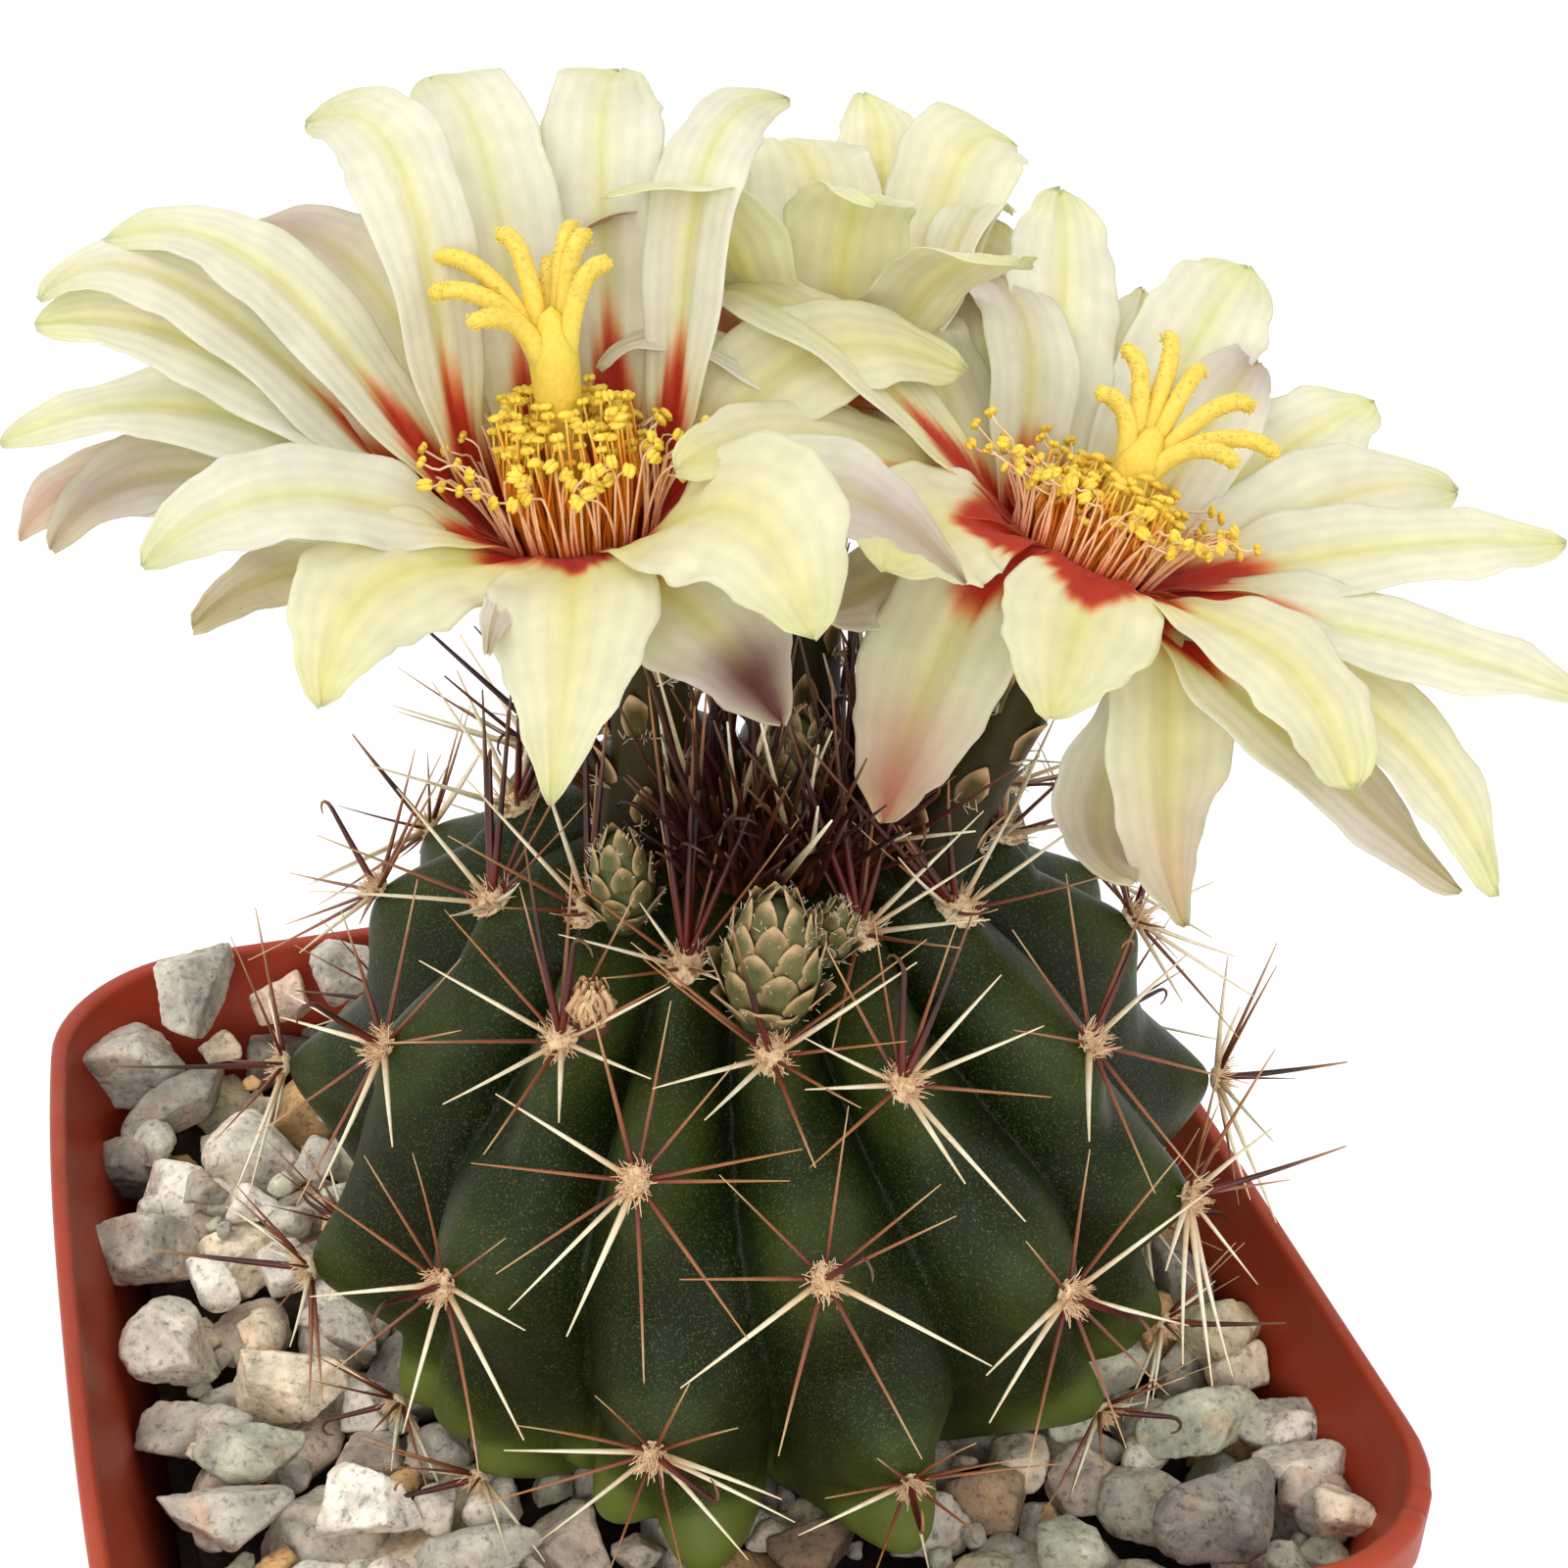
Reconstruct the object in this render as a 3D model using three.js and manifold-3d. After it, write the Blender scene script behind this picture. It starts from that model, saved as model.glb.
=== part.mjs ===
// Potted round cactus in flower: a ribbed, globe-shaped stem with hooked spines, three open
// pale yellow flowers and four buds, standing in a thin square plastic pot that is filled with
// potting mix and dressed with gravel.
//
// Units are millimetres, +Z is up. The origin is the centre of the pot's underside. The pot's
// sides are parallel to X and Y.
import * as THREE from 'three';
import { mergeVertices } from 'three/addons/utils/BufferGeometryUtils.js';
import Module from 'manifold-3d';

// ---------------------------------------------------------------- driving dimensions
const GAP = 0.32;            // clearance that touching pieces keep
const POT_RIM = 90;          // outer width across the rim band
const POT_FOOT = 64;         // outer width of the underside
const POT_H = 80;            // height of the pot
const WALL = 1.4;            // thickness of the pot's wall
const FLOOR_T = 2.0;         // thickness of the pot's floor
const BAND_H = 5.5;          // height of the thickened band under the rim
const BAND_T = 0.9;          // how far the band stands proud of the wall
const CORNER_R = 11;         // corner radius at the rim
const BOW = 1.9;             // how far the left side bows out at the rim
const DRAIN_R = 3.2;         // drain hole radius
const DRAIN_AT = 19;         // drain holes sit this far from the centre, on both axes
const MIX_TOP = 62;          // level of the potting mix
const BED_TOP = 68.5;        // mean level of the gravel layer
const STEM_X = 5, STEM_Y = 0;   // the stem stands a little off the pot's centre
const STEM_R = 33;           // radius over the rib crests
const STEM_Z = 94;           // height of the widest girth
const STEM_UP = 26;          // girth to crown
const STEM_DOWN = 34;        // girth to the buried foot
const NOSE = 4.0;            // how far an areole's nose stands out of its rib
const PETAL_T = 0.7;         // thickness of a petal's solid
const TUBE_R = 3.3;          // floral tube
const STYLE_R = 1.15;        // style

// Ribs, in order round the stem. Each areole is [azimuth in degrees, height].
const RIBS = [
  [[-172, 115.0], [-165.6, 107.6], [-172.9, 86.3], [-163, 76.0]],
  [[-150.8, 116.8], [-137.7, 113.0], [-141.6, 98.7], [-146.5, 74.6]],
  [[-121.9, 116.3], [-120.6, 108.4], [-116.2, 90.4]],
  [[-103.8, 113.8], [-98.3, 103.9], [-88.0, 85.9]],
  [[-80.2, 117.1], [-84.7, 112.4], [-69.7, 98.5], [-53.9, 79.3]],
  [[-53.6, 116.5], [-52.8, 110.3], [-45.9, 97.6], [-40, 82.0]],
  [[-18, 116.3], [-16, 108.6], [-14, 93.0], [-12, 78.0]],
  [[10, 114.2], [12, 103.2], [15, 86.0]],
  [[38, 116.3], [40, 108.6], [42, 93.0], [44, 78.0]],
  [[67, 114.2], [69, 103.2], [72, 86.0]],
  [[97, 116.3], [99, 108.6], [101, 93.0], [103, 78.0]],
  [[127, 114.2], [129, 103.2], [132, 86.0]],
  [[158, 116.3], [160, 108.6], [162, 93.0], [164, 78.0]]
];
// Low chins of the ribs at gravel level: [azimuth, height, how far it stands out]
const CHINS = [[-152, 79.5, 3.4], [-128, 75.5, 4.6], [-110, 74.5, 6.0], [-84, 75.5, 5.6], [-40, 79, 3.4], [10, 78, 4], [70, 77, 4], [125, 78, 4]];

// Flowers. A petal is [name, whorl, mid x, mid y, mid z, tip x, tip y, tip z, width, tint].
const FLOWERS = [
  { base: [-5.5, -3.5, 116.6], centre: [-7.4, 1.7, 143.0], petals: [
    ["a", "i", -15.5, 9.4, 159.7, -19.9, 27.2, 159.8, 8.0, 0],
    ["b", "i", -9.7, 13.7, 158.6, -11.3, 28.4, 162.0, 8.2, 0],
    ["c", "i", -2.6, 13.7, 158.0, 1.8, 27.0, 162.1, 9.0, 0],
    ["d", "i", 2.3, 8.8, 158.7, 12.2, 21.0, 161.3, 8.2, 0],
    ["e", "o", -14.4, 17.1, 149.1, -19.5, 28.4, 149.5, 7.0, 0],
    ["f", "i", -23.6, 8.5, 155.5, -34.7, 10.9, 159.0, 8.0, 0],
    ["g", "o", -27.9, 8.2, 154.8, -38.9, 7.5, 156.9, 7.5, 0],
    ["h", "i", -27.1, 7.1, 151.7, -39.4, 7.0, 155.6, 8.0, 0],
    ["i", "i", -28.1, 6.0, 148.8, -42.4, 4.0, 149.4, 7.6, 0],
    ["j", "o", -31.6, 4.3, 145.6, -42.0, 1.6, 144.0, 6.5, 1],
    ["k", "o", -29.2, 4.5, 145.6, -40.3, -0.9, 144.5, 6.5, 1],
    ["l", "i", -24.5, -2.3, 147.0, -35.3, -8.8, 146.8, 7.0, 0],
    ["m", "o", -23.8, 1.7, 139.7, -32.8, -7.4, 141.6, 5.5, 2],
    ["n", "i", -21.0, -7.0, 143.1, -26.4, -15.8, 140.1, 9.0, 0],
    ["o", "i", -11.2, -14.0, 141.7, -14.6, -23.4, 136.2, 9.5, 0],
    ["p", "o", -2.4, -12.2, 140.5, -0.3, -21.9, 138.8, 9.0, 1],
    ["q", "i", -0.7, -11.5, 147.7, 1.6, -21.6, 144.0, 11.0, 0],
    ["r", "i", 6.4, 14.0, 145.1, 18.6, 17.9, 147.8, 8.0, 0],
    ["s", "o", 5.7, 13.8, 140.4, 17.0, 18.4, 137.8, 8.0, 0],
    ["t", "o", -13.8, -8.8, 141.9, -16.6, -16.0, 142.4, 5.5, 2],
    ["u", "o", -5.8, 17.1, 153.3, -3.5, 30.6, 153.4, 7.5, 1],
    ["v", "o", -17.6, 13.5, 153.1, -27.2, 23.3, 153.2, 7, 1],
    ["w", "i", 7.9, 4.2, 149.5, 20.1, 4.6, 147.4, 8.0, 0],
    ["x", "o", 6.0, -6.0, 145.5, 14.7, -11.9, 140.8, 7.5, 1],
  ] },
  { base: [13.2, -10.0, 115.8], centre: [26.8, -4.5, 139.6], petals: [
    ["a", "i", 30.2, 12.5, 146.3, 33.7, 22.9, 152.4, 7.8, 0],
    ["b", "o", 34.2, 9.7, 142.3, 39.1, 18.7, 145.9, 7.0, 0],
    ["c", "i", 38.1, 8.8, 144.1, 46.4, 16.7, 147.8, 8.2, 0],
    ["d", "o", 38.8, 4.1, 142.4, 45.6, 11.8, 142.3, 6.5, 1],
    ["e", "i", 42.8, 3.6, 138.4, 53.8, 8.6, 139.9, 8.0, 0],
    ["f", "o", 44.6, -2.3, 138.0, 56.3, -0.3, 136.5, 8.0, 0],
    ["g", "i", 45.5, -8.2, 137.5, 59.2, -10.2, 137.1, 8.0, 0],
    ["h", "i", 42.7, -16.9, 135.8, 52.8, -27.5, 135.0, 8.5, 0],
    ["i", "i", 39.4, -21.3, 133.3, 45.2, -30.4, 124.0, 8.0, 0],
    ["j", "i", 32.2, -20.7, 138.2, 34.7, -28.2, 132.4, 8.5, 0],
    ["k", "o", 33.7, -22.0, 132.4, 43.4, -29.0, 123.7, 7.5, 2],
    ["l", "i", 27.1, -17.9, 129.4, 27.8, -21.8, 118.7, 9.0, 1],
    ["m", "o", 25.0, -13.4, 125.8, 22.6, -24.3, 124.9, 7.0, 2],
    ["n", "i", 21.3, -14.9, 138.4, 17.5, -20.6, 135.6, 9.5, 0],
    ["o", "i", 13.7, -9.5, 132.8, 7.9, -17.5, 127.4, 10.5, 1],
    ["p", "i", 15.0, -7.0, 142.5, 8.9, -12.8, 142.9, 9.0, 0],
    ["q", "i", 8.9, -1.9, 146.0, -2.9, -6.9, 148.3, 9.0, 0],
    ["r", "o", 12.7, -1.6, 136.0, 4.3, -12.8, 140.8, 7.0, 2],
    ["s", "o", 5.5, 6.0, 148.9, -4.6, 7.0, 149.2, 6.5, 2],
    ["t", "i", 11.0, 5.6, 150.4, 5.0, 16.8, 149.5, 9.0, 0],
    ["u", "o", 20.3, 10.7, 145.1, 21.7, 23.2, 146.5, 7.5, 0],
    ["v", "i", 25.2, 12.2, 144.3, 29.5, 23.3, 147.5, 8.0, 0],
    ["x", "o", 26.9, 10.5, 147.1, 23.1, 22.3, 146.8, 7.5, 1],
  ] },
  { base: [9.5, 4.5, 118.0], centre: [14.0, 19.0, 142.5], petals: [
    ["a", "i", 17.7, 30.7, 150.1, 16.1, 41.6, 150.3, 8.5, 0],
    ["b", "i", 23.1, 32.0, 149.5, 24.7, 42.3, 153.8, 7.0, 0],
    ["c", "i", 26.0, 26.0, 151.8, 34.5, 33.9, 151.8, 9.0, 0],
    ["d", "o", 24.8, 20.1, 150.1, 32.6, 29.0, 148.7, 6.5, 0],
    ["e", "o", 16.6, 30.6, 146.7, 15.3, 39.3, 147.9, 7.0, 0],
    ["f", "i", 25.3, 21.0, 145.9, 30.7, 28.4, 148.3, 8.0, 0],
    ["g", "i", 19.6, 10.9, 151.2, 23.1, 3.7, 155.4, 9.0, 0],
    ["h", "i", 5.0, 12.2, 156.5, -4.1, 6.1, 161.1, 7.0, 0],
    ["i", "i", 3.3, 21.2, 155.3, -7.9, 19.0, 159.9, 8.0, 0],
    ["j", "i", 3.2, 27.7, 153.0, -8.8, 31.6, 155.3, 8.0, 0],
    ["k", "i", 6.1, 33.2, 150.3, -3.4, 42.4, 149.5, 8.0, 0],
    ["l", "o", 10.5, 35.6, 146.5, 5.8, 46.8, 142.5, 7.5, 1],
    ["m", "i", 10.7, 34.8, 148.9, 5.6, 46.4, 146.9, 8.0, 0],
    ["o", "o", 1.8, 29.9, 148.5, -9.8, 35.1, 146.8, 7.0, 1],
    ["p", "o", 3.5, 16.0, 153.6, -5.9, 10.2, 156.7, 7.0, 2],
    ["n", "o", 17.6, 34.8, 142.6, 19.6, 44.6, 136.1, 7.0, 1],
    ["r", "i", 14.3, 13.4, 154.5, 13.5, 5.2, 159.6, 8, 0],
  ] },
];
const FLOWER_NAMES = ['left', 'right', 'rear'];

// Flower buds: [x, y, z of the foot, length, radius, lean x, lean y]
const BUDS = [
  [0.3, -18.6, 114.2, 11.0, 3.3, -0.03, -0.22],
  [-6.9, -9.4, 116.6, 8.0, 2.3, -0.1, -0.15],
  [4.9, -16.2, 116.4, 5.0, 1.6, 0.1, -0.25],
  [5.9, -4.6, 119.4, 8.5, 2.6, 0.05, -0.05],
];

// Surface stones that are big enough to pick up one by one:
// [x, y, z, half length, half width, kind, turn in degrees]
const STONES = [
  [-38.3, 37.0, 75.1, 5.6, 4.6, "grey", 20],
  [30.6, -33.6, 75.0, 5.6, 4.2, "dark", 5],
  [-31.2, -2.1, 73.5, 5.2, 4.4, "cream", -20],
  [-29.7, 25.5, 72.0, 5.2, 4.3, "pale", 15],
  [-33.1, 37.2, 81.1, 5.3, 4.0, "grey", 55],
  [-37.6, -14.2, 74.0, 5.8, 3.2, "grey", -15],
  [33.6, -24.4, 73.5, 5.3, 3.4, "green", -5],
  [-39.7, 14.5, 72.5, 3.4, 4.9, "grey", 65],
  [-38.7, 3.9, 73.0, 3.9, 3.9, "pale", 60],
  [-35.4, 30.3, 75.0, 5.4, 2.6, "dark", 25],
  [-40.1, 28.5, 70.5, 3.0, 4.5, "dark", 85],
  [38.9, -8.3, 72.0, 3.5, 3.8, "dark", 40],
  [38.9, -16.4, 73.5, 3.5, 3.8, "greenbeige", 60],
  [39.0, 0.9, 71.0, 3.6, 3.6, "cream", 0],
  [-33.8, -9.0, 73.5, 4.8, 2.6, "green", -12],
  [38.7, -24.4, 72.5, 4.0, 3.1, "grey", -15],
  [-32.8, 14.6, 70.5, 3.5, 3.5, "cream", 0],
  [-21.5, 38.7, 80.2, 3.6, 3.2, "grey", -10],
  [3.1, -26.7, 72.0, 4.2, 2.7, "darkbrown", 0],
  [-21.5, -22.1, 73.0, 5.2, 2.1, "grey", -10],
  [-27.4, -15.3, 73.0, 2.8, 3.9, "white", 75],
  [-36.0, 26.9, 68.5, 3.5, 3.1, "ochre", 10]
];

// ---------------------------------------------------------------- helpers
const wasm = await Module();
wasm.setup();
const V = (x, y, z) => new THREE.Vector3(x, y, z);
const rad = THREE.MathUtils.degToRad;

function solid(geometry) {
  const g = geometry.clone();
  for (const k of Object.keys(g.attributes)) if (k !== 'position') g.deleteAttribute(k);
  const m = mergeVertices(g, 1e-4);
  return new wasm.Manifold(new wasm.Mesh({
    numProp: 3,
    vertProperties: new Float32Array(m.attributes.position.array),
    triVerts: new Uint32Array(m.index.array),
  }));
}
function geometryOf(manifold) {
  const m = manifold.getMesh();
  const g = new THREE.BufferGeometry();
  g.setAttribute('position', new THREE.BufferAttribute(new Float32Array(m.vertProperties), 3));
  g.setIndex(new THREE.BufferAttribute(new Uint32Array(m.triVerts), 1));
  g.computeVertexNormals();
  return g;
}
function warp(geometry, f) {
  const p = geometry.attributes.position;
  const v = new THREE.Vector3();
  for (let i = 0; i < p.count; i++) {
    v.fromBufferAttribute(p, i);
    const w = f(v.clone());
    p.setXYZ(i, w.x, w.y, w.z);
  }
  return geometry;
}
function joined(list) {
  let m = list[0];
  for (let i = 1; i < list.length; i++) m = m.add(list[i]);
  return m;
}
// a turned shape about +Z, from a closed or axis-to-axis profile of [radius, height]
function turned(profile, segments = 16) {
  const g = new THREE.LatheGeometry(profile.map(([r, h]) => new THREE.Vector2(r, h)), segments);
  return g.rotateX(Math.PI / 2);
}
// a frame whose +Z runs along the given direction
function frameAt(origin, dir) {
  const q = new THREE.Quaternion().setFromUnitVectors(V(0, 0, 1), dir.clone().normalize());
  return new THREE.Matrix4().compose(origin, q, V(1, 1, 1));
}
// a slim cone from a to b
function thorn(a, b, r0, r1, sides = 3) {
  const d = b.clone().sub(a), l = d.length();
  const g = new THREE.CylinderGeometry(r1, r0, l, sides).rotateX(Math.PI / 2).translate(0, 0, l / 2);
  return g.applyMatrix4(frameAt(a, d));
}
function mulberry(seed) {
  let a = seed >>> 0;
  return () => {
    a = (a + 0x6D2B79F5) >>> 0;
    let t = a;
    t = Math.imul(t ^ (t >>> 15), t | 1);
    t ^= t + Math.imul(t ^ (t >>> 7), t | 61);
    return ((t ^ (t >>> 14)) >>> 0) / 4294967296;
  };
}

// ---------------------------------------------------------------- pot
// a circle warped to a rounded square of the given half width
function squared(v, half, corner) {
  const r = Math.hypot(v.x, v.y);
  if (r < 1e-6) return v;
  const c = v.x / r, s = v.y / r;
  // support of the rounded square along this direction
  const k = half - corner;
  const ac = Math.abs(c), as = Math.abs(s);
  let t;
  if (ac * half >= as * half && as * (half / ac) <= k) t = half / ac;
  else if (as > ac && ac * (half / as) <= k) t = half / as;
  else {
    // ray against the corner's arc
    const b = k * (ac + as), q = 2 * k * k - corner * corner;
    t = b + Math.sqrt(Math.max(0, b * b - q));
  }
  return V(c * t * (r / half), s * t * (r / half), v.z);
}
// the pot's plan at one point: a rounded square, its left side bowed out towards the rim
function potPlan(v) {
  const r = Math.hypot(v.x, v.y);
  if (r < 1e-6) return v;
  const p = squared(v, r, CORNER_R * (r / (POT_RIM / 2)));
  if (p.x < 0 && r > 12) {
    const k = Math.max(0, 1 - Math.pow(Math.min(1, Math.abs(p.y) / r), 2.6));
    p.x -= BOW * k * THREE.MathUtils.smoothstep(-p.x / r, 0.2, 1) * THREE.MathUtils.smoothstep(v.z / POT_H, 0, 1);
  }
  return p;
}
function potShape(profile) {
  const g = turned(profile, 32);
  return warp(g, potPlan);
}
const wallAt = (z) => POT_FOOT / 2 + (POT_RIM / 2 - BAND_T - POT_FOOT / 2) * (z / POT_H);
function pot() {
  const top = POT_H, rim = POT_RIM / 2;
  const profile = [
    [0, 0], [POT_FOOT / 2 - 1.2, 0], [POT_FOOT / 2, 1.2],
    [wallAt(top - BAND_H), top - BAND_H], [rim - 0.5, top - BAND_H], [rim, top - BAND_H + 0.6],
    [rim, top - 0.7], [rim - 0.6, top], [rim - BAND_T - WALL + 0.4, top], [rim - BAND_T - WALL, top - 0.5],
    [wallAt(FLOOR_T) - WALL, FLOOR_T], [0, FLOOR_T],
  ];
  let m = solid(potShape(profile));
  for (const sx of [-1, 1]) for (const sy of [-1, 1]) {
    const drill = new THREE.CylinderGeometry(DRAIN_R, DRAIN_R, 8, 14).rotateX(Math.PI / 2).translate(sx * DRAIN_AT, sy * DRAIN_AT, 1);
    m = m.subtract(solid(drill));
  }
  return m;
}
const insideAt = (z) => wallAt(z) - WALL - GAP;
function pottingMix() {
  const z0 = FLOOR_T + GAP;
  return solid(potShape([[0, z0], [insideAt(z0), z0], [insideAt(MIX_TOP), MIX_TOP], [0, MIX_TOP]]));
}
function gravelBed() {
  const z0 = MIX_TOP + GAP;
  const prof = [[0, z0], [insideAt(z0), z0], [insideAt(BED_TOP), BED_TOP]];
  for (let r = 36; r >= 12; r -= 12) prof.push([r, BED_TOP + (r % 24 ? 0.7 : -0.5)]);
  prof.push([0, BED_TOP]);
  const g = warp(turned(prof, 20), potPlan);
  warp(g, (v) => {
    if (v.z > BED_TOP - 1.2 && Math.hypot(v.x, v.y) < 39) {
      v.z += 0.8 * Math.sin(v.x * 0.9 + 1.3) * Math.cos(v.y * 0.8) + Math.max(0, -v.x + v.y) * 0.085;
    }
    return v;
  });
  return solid(g);
}

// ---------------------------------------------------------------- stem
function crest(z) {
  const t = z >= STEM_Z ? (z - STEM_Z) / STEM_UP : (STEM_Z - z) / STEM_DOWN;
  return STEM_R * Math.sqrt(Math.max(0, 1 - t * t));
}
function ribAzimuth(i, z) {
  const a = RIBS[i];
  if (z >= a[0][1]) return a[0][0];
  for (let k = 0; k + 1 < a.length; k++) {
    const [a0, z0] = a[k], [a1, z1] = a[k + 1];
    if (z <= z0 && z >= z1) return a0 + (a1 - a0) * (z0 - z) / (z0 - z1);
  }
  return a[a.length - 1][0];
}
function angleBetween(a, b) {
  let d = (a - b) % 360;
  if (d > 180) d -= 360;
  if (d < -180) d += 360;
  return d;
}
function stemRadius(az, z) {
  const rc = crest(z);
  // distance to the nearest crest, as a share of half the space between ribs
  let left = 1e9, right = 1e9;
  for (let i = 0; i < RIBS.length; i++) {
    const d = angleBetween(az, ribAzimuth(i, z));
    if (d >= 0) left = Math.min(left, d);
    if (d <= 0) right = Math.min(right, -d);
  }
  const half = (left + right) / 2;
  const x = half < 1e-6 ? 0 : Math.min(left, right) / half;
  // the grooves are deep at the crown, shallow at the girth and deeper again at the foot
  const depth = 0.105 + 0.23 * THREE.MathUtils.smoothstep(z, 97, 114) + 0.16 * (1 - THREE.MathUtils.smoothstep(z, 72, 84));
  const fold = 0.5 * Math.pow(x, 1.5) + 0.5 * (1 - Math.sqrt(Math.max(0, 1 - 0.985 * Math.pow(x, 3.4))));
  let r = rc * (1 - depth * fold) - 0.6 - 1.3 * Math.min(1, rc / 20);
  let bump = 0;
  for (const rib of RIBS) for (const [a, h] of rib) {
    const dx = angleBetween(az, a) * Math.PI / 180 * Math.max(rc, 8), dz = (z - h) * (z < h ? 0.72 : 1.15);
    bump = Math.max(bump, NOSE * Math.min(1, Math.max(0.3, (121 - h) / 9)) * Math.exp(-(dx * dx + dz * dz) / (2 * 3.6 * 3.6)));
  }
  for (const [a, h, k] of CHINS) {
    const dx = angleBetween(az, a) * Math.PI / 180 * Math.max(rc, 8), dz = z - h;
    bump = Math.max(bump, k * Math.exp(-(dx * dx + dz * dz) / (2 * 3.4 * 3.4)));
  }
  return r + bump * Math.min(1, rc / 14);
}
function stem(e = 0, columns = 52, rows = 12) {
  const g = new THREE.SphereGeometry(1, columns, rows).rotateX(Math.PI / 2);
  warp(g, (v) => {
    const t = Math.acos(THREE.MathUtils.clamp(v.z, -1, 1));
    const z = STEM_Z + Math.cos(t) * (Math.cos(t) > 0 ? STEM_UP : STEM_DOWN);
    const az = Math.hypot(v.x, v.y) < 1e-6 ? 0 : THREE.MathUtils.radToDeg(Math.atan2(v.y, v.x));
    const pole = Math.sin(t) < 1e-4;
    const r = pole ? 0 : Math.max(0.4, stemRadius(az, z)) + e;
    // the crown is a shallow dimple
    const dip = z > STEM_Z ? 2.2 * Math.exp(-Math.pow(r / 7, 2)) : 0;
    return V(STEM_X + r * Math.cos(rad(az)), STEM_Y + r * Math.sin(rad(az)), z - dip + e * Math.cos(t));
  });
  return solid(g);
}
// the point on a nose and the way it faces
function areole(az, z) {
  const at = (a, h) => {
    const r = stemRadius(a, h);
    return V(STEM_X + r * Math.cos(rad(a)), STEM_Y + r * Math.sin(rad(a)), h);
  };
  const p = at(az, z);
  const h = Math.min(z, 117.5);
  const up = h >= STEM_Z ? (h - STEM_Z) / STEM_UP : (h - STEM_Z) / STEM_DOWN;
  const side = Math.sqrt(Math.max(0.04, 1 - up * up));
  const n = V(side * Math.cos(rad(az)) / STEM_R, side * Math.sin(rad(az)) / STEM_R, up / (up > 0 ? STEM_UP : STEM_DOWN)).normalize();
  return { p, n };
}
function spineCluster(ribIndex, e = 0) {
  const rnd = mulberry(100 + ribIndex);
  const list = [];
  const rib = RIBS[ribIndex];
  const pads = rib.map(([a, h]) => areole(a, h));
  pads.forEach(({ p, n }, k) => {
    const c = p.clone().addScaledVector(n, 1.0);
    // the felted pad, five radial spines drawn out of its rim and one central spine
    const turn = rnd() * 6, reach = [0, 1, 2, 3, 4].map(() => [8.5 + 3 * rnd(), 0.25 + 0.3 * rnd()]);
    const tall = centralLength(p.z, rnd), leanX = 0.25 + 0.3 * rnd(), leanY = (rnd() - 0.5) * 0.5;
    const star = turned([[0, -0.9 - e], [1, 0.3], [0.5 + e, 1.0 + e], [0, tall + e]], 10);
    warp(star, (v) => {
      const r = Math.hypot(v.x, v.y);
      if (v.z > 2) return V(v.z * leanX, v.z * leanY, v.z);
      if (r < 0.7 + e) return v;
      const k12 = Math.round((Math.atan2(v.y, v.x) - Math.PI / 2) / (Math.PI / 5));
      if (k12 % 2) return V(v.x * (1 + e), v.y * (1 + e), v.z);
      const [l, lift] = reach[((k12 / 2) % 5 + 5) % 5];
      return V(v.x * (l + e), v.y * (l + e), v.z + l * lift);
    });
    list.push(solid(star.rotateZ(turn).applyMatrix4(frameAt(c, n))));
    if (e > 0) {
      // room round each needle, for the pieces that pass close to it
      const place = frameAt(c, n), tips = reach.map(([l, lift], i) => {
        const q = Math.PI / 2 + i * 2 * Math.PI / 5 + turn;
        return V(l * Math.cos(q), l * Math.sin(q), 0.3 + l * lift);
      });
      tips.push(V(tall * leanX, tall * leanY, tall).applyAxisAngle(V(0, 0, 1), turn));
      for (const q of tips) list.push(solid(thorn(c, q.multiplyScalar(1.05).applyMatrix4(place), 0.9, 0.4, 5)));
    }
    if (k + 1 < pads.length) {
      // one long radial reaches down along the crest to the next areole
      const q = pads[k + 1].p.clone().addScaledVector(pads[k + 1].n, 1.0);
      const m = c.clone().add(q).multiplyScalar(0.5).addScaledVector(n.clone().add(pads[k + 1].n).normalize(), 1.7);
      list.push(solid(thorn(c, m, 0.4 + e, 0.4 + e)));
      list.push(solid(thorn(m.clone().lerp(c, 0.04), q, 0.42 + e, 0.34 + e)));
    }
  });
  return joined(list);
}
const centralLength = (z, rnd) => (z > 112 ? 15 : 12) + 3 * rnd();

// ---------------------------------------------------------------- flowers
function bezier(P, t) {
  const k = 1 - t;
  return P[0].clone().multiplyScalar(k * k * k).addScaledVector(P[1], 3 * k * k * t).addScaledVector(P[2], 3 * k * t * t).addScaledVector(P[3], t * t * t);
}
function flowerFrame(f) {
  const base = V(...f.base), centre = V(...f.centre);
  return { base, centre, axis: centre.clone().sub(base).normalize(), length: centre.distanceTo(base) };
}
function petalMidrib(F, whorl, mid, tip) {
  const out = mid.clone().sub(F.centre);
  out.addScaledVector(F.axis, -out.dot(F.axis)).normalize();
  const inner = whorl === 'i';
  const b = F.centre.clone().addScaledVector(out, inner ? 5.4 : 5.5).addScaledVector(F.axis, inner ? -2.0 : -4.6);
  const len = tip.distanceTo(b);
  // a drooping petal leaves the ring lower than a rising one
  const toMid = mid.clone().sub(F.centre), rise = toMid.dot(F.axis) / toMid.length();
  const p1 = b.clone().addScaledVector(F.axis, len * THREE.MathUtils.clamp(0.055 + 0.26 * rise, 0.02, 0.17)).addScaledVector(out, len * (0.19 + (rise < 0.1 ? 0.05 : 0)));
  const t = 0.6, k = 1 - t;
  const p2 = mid.clone().addScaledVector(b, -k * k * k).addScaledVector(p1, -3 * k * k * t).addScaledVector(tip, -t * t * t).multiplyScalar(1 / (3 * k * t * t));
  return [b, p1, p2, tip];
}
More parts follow.
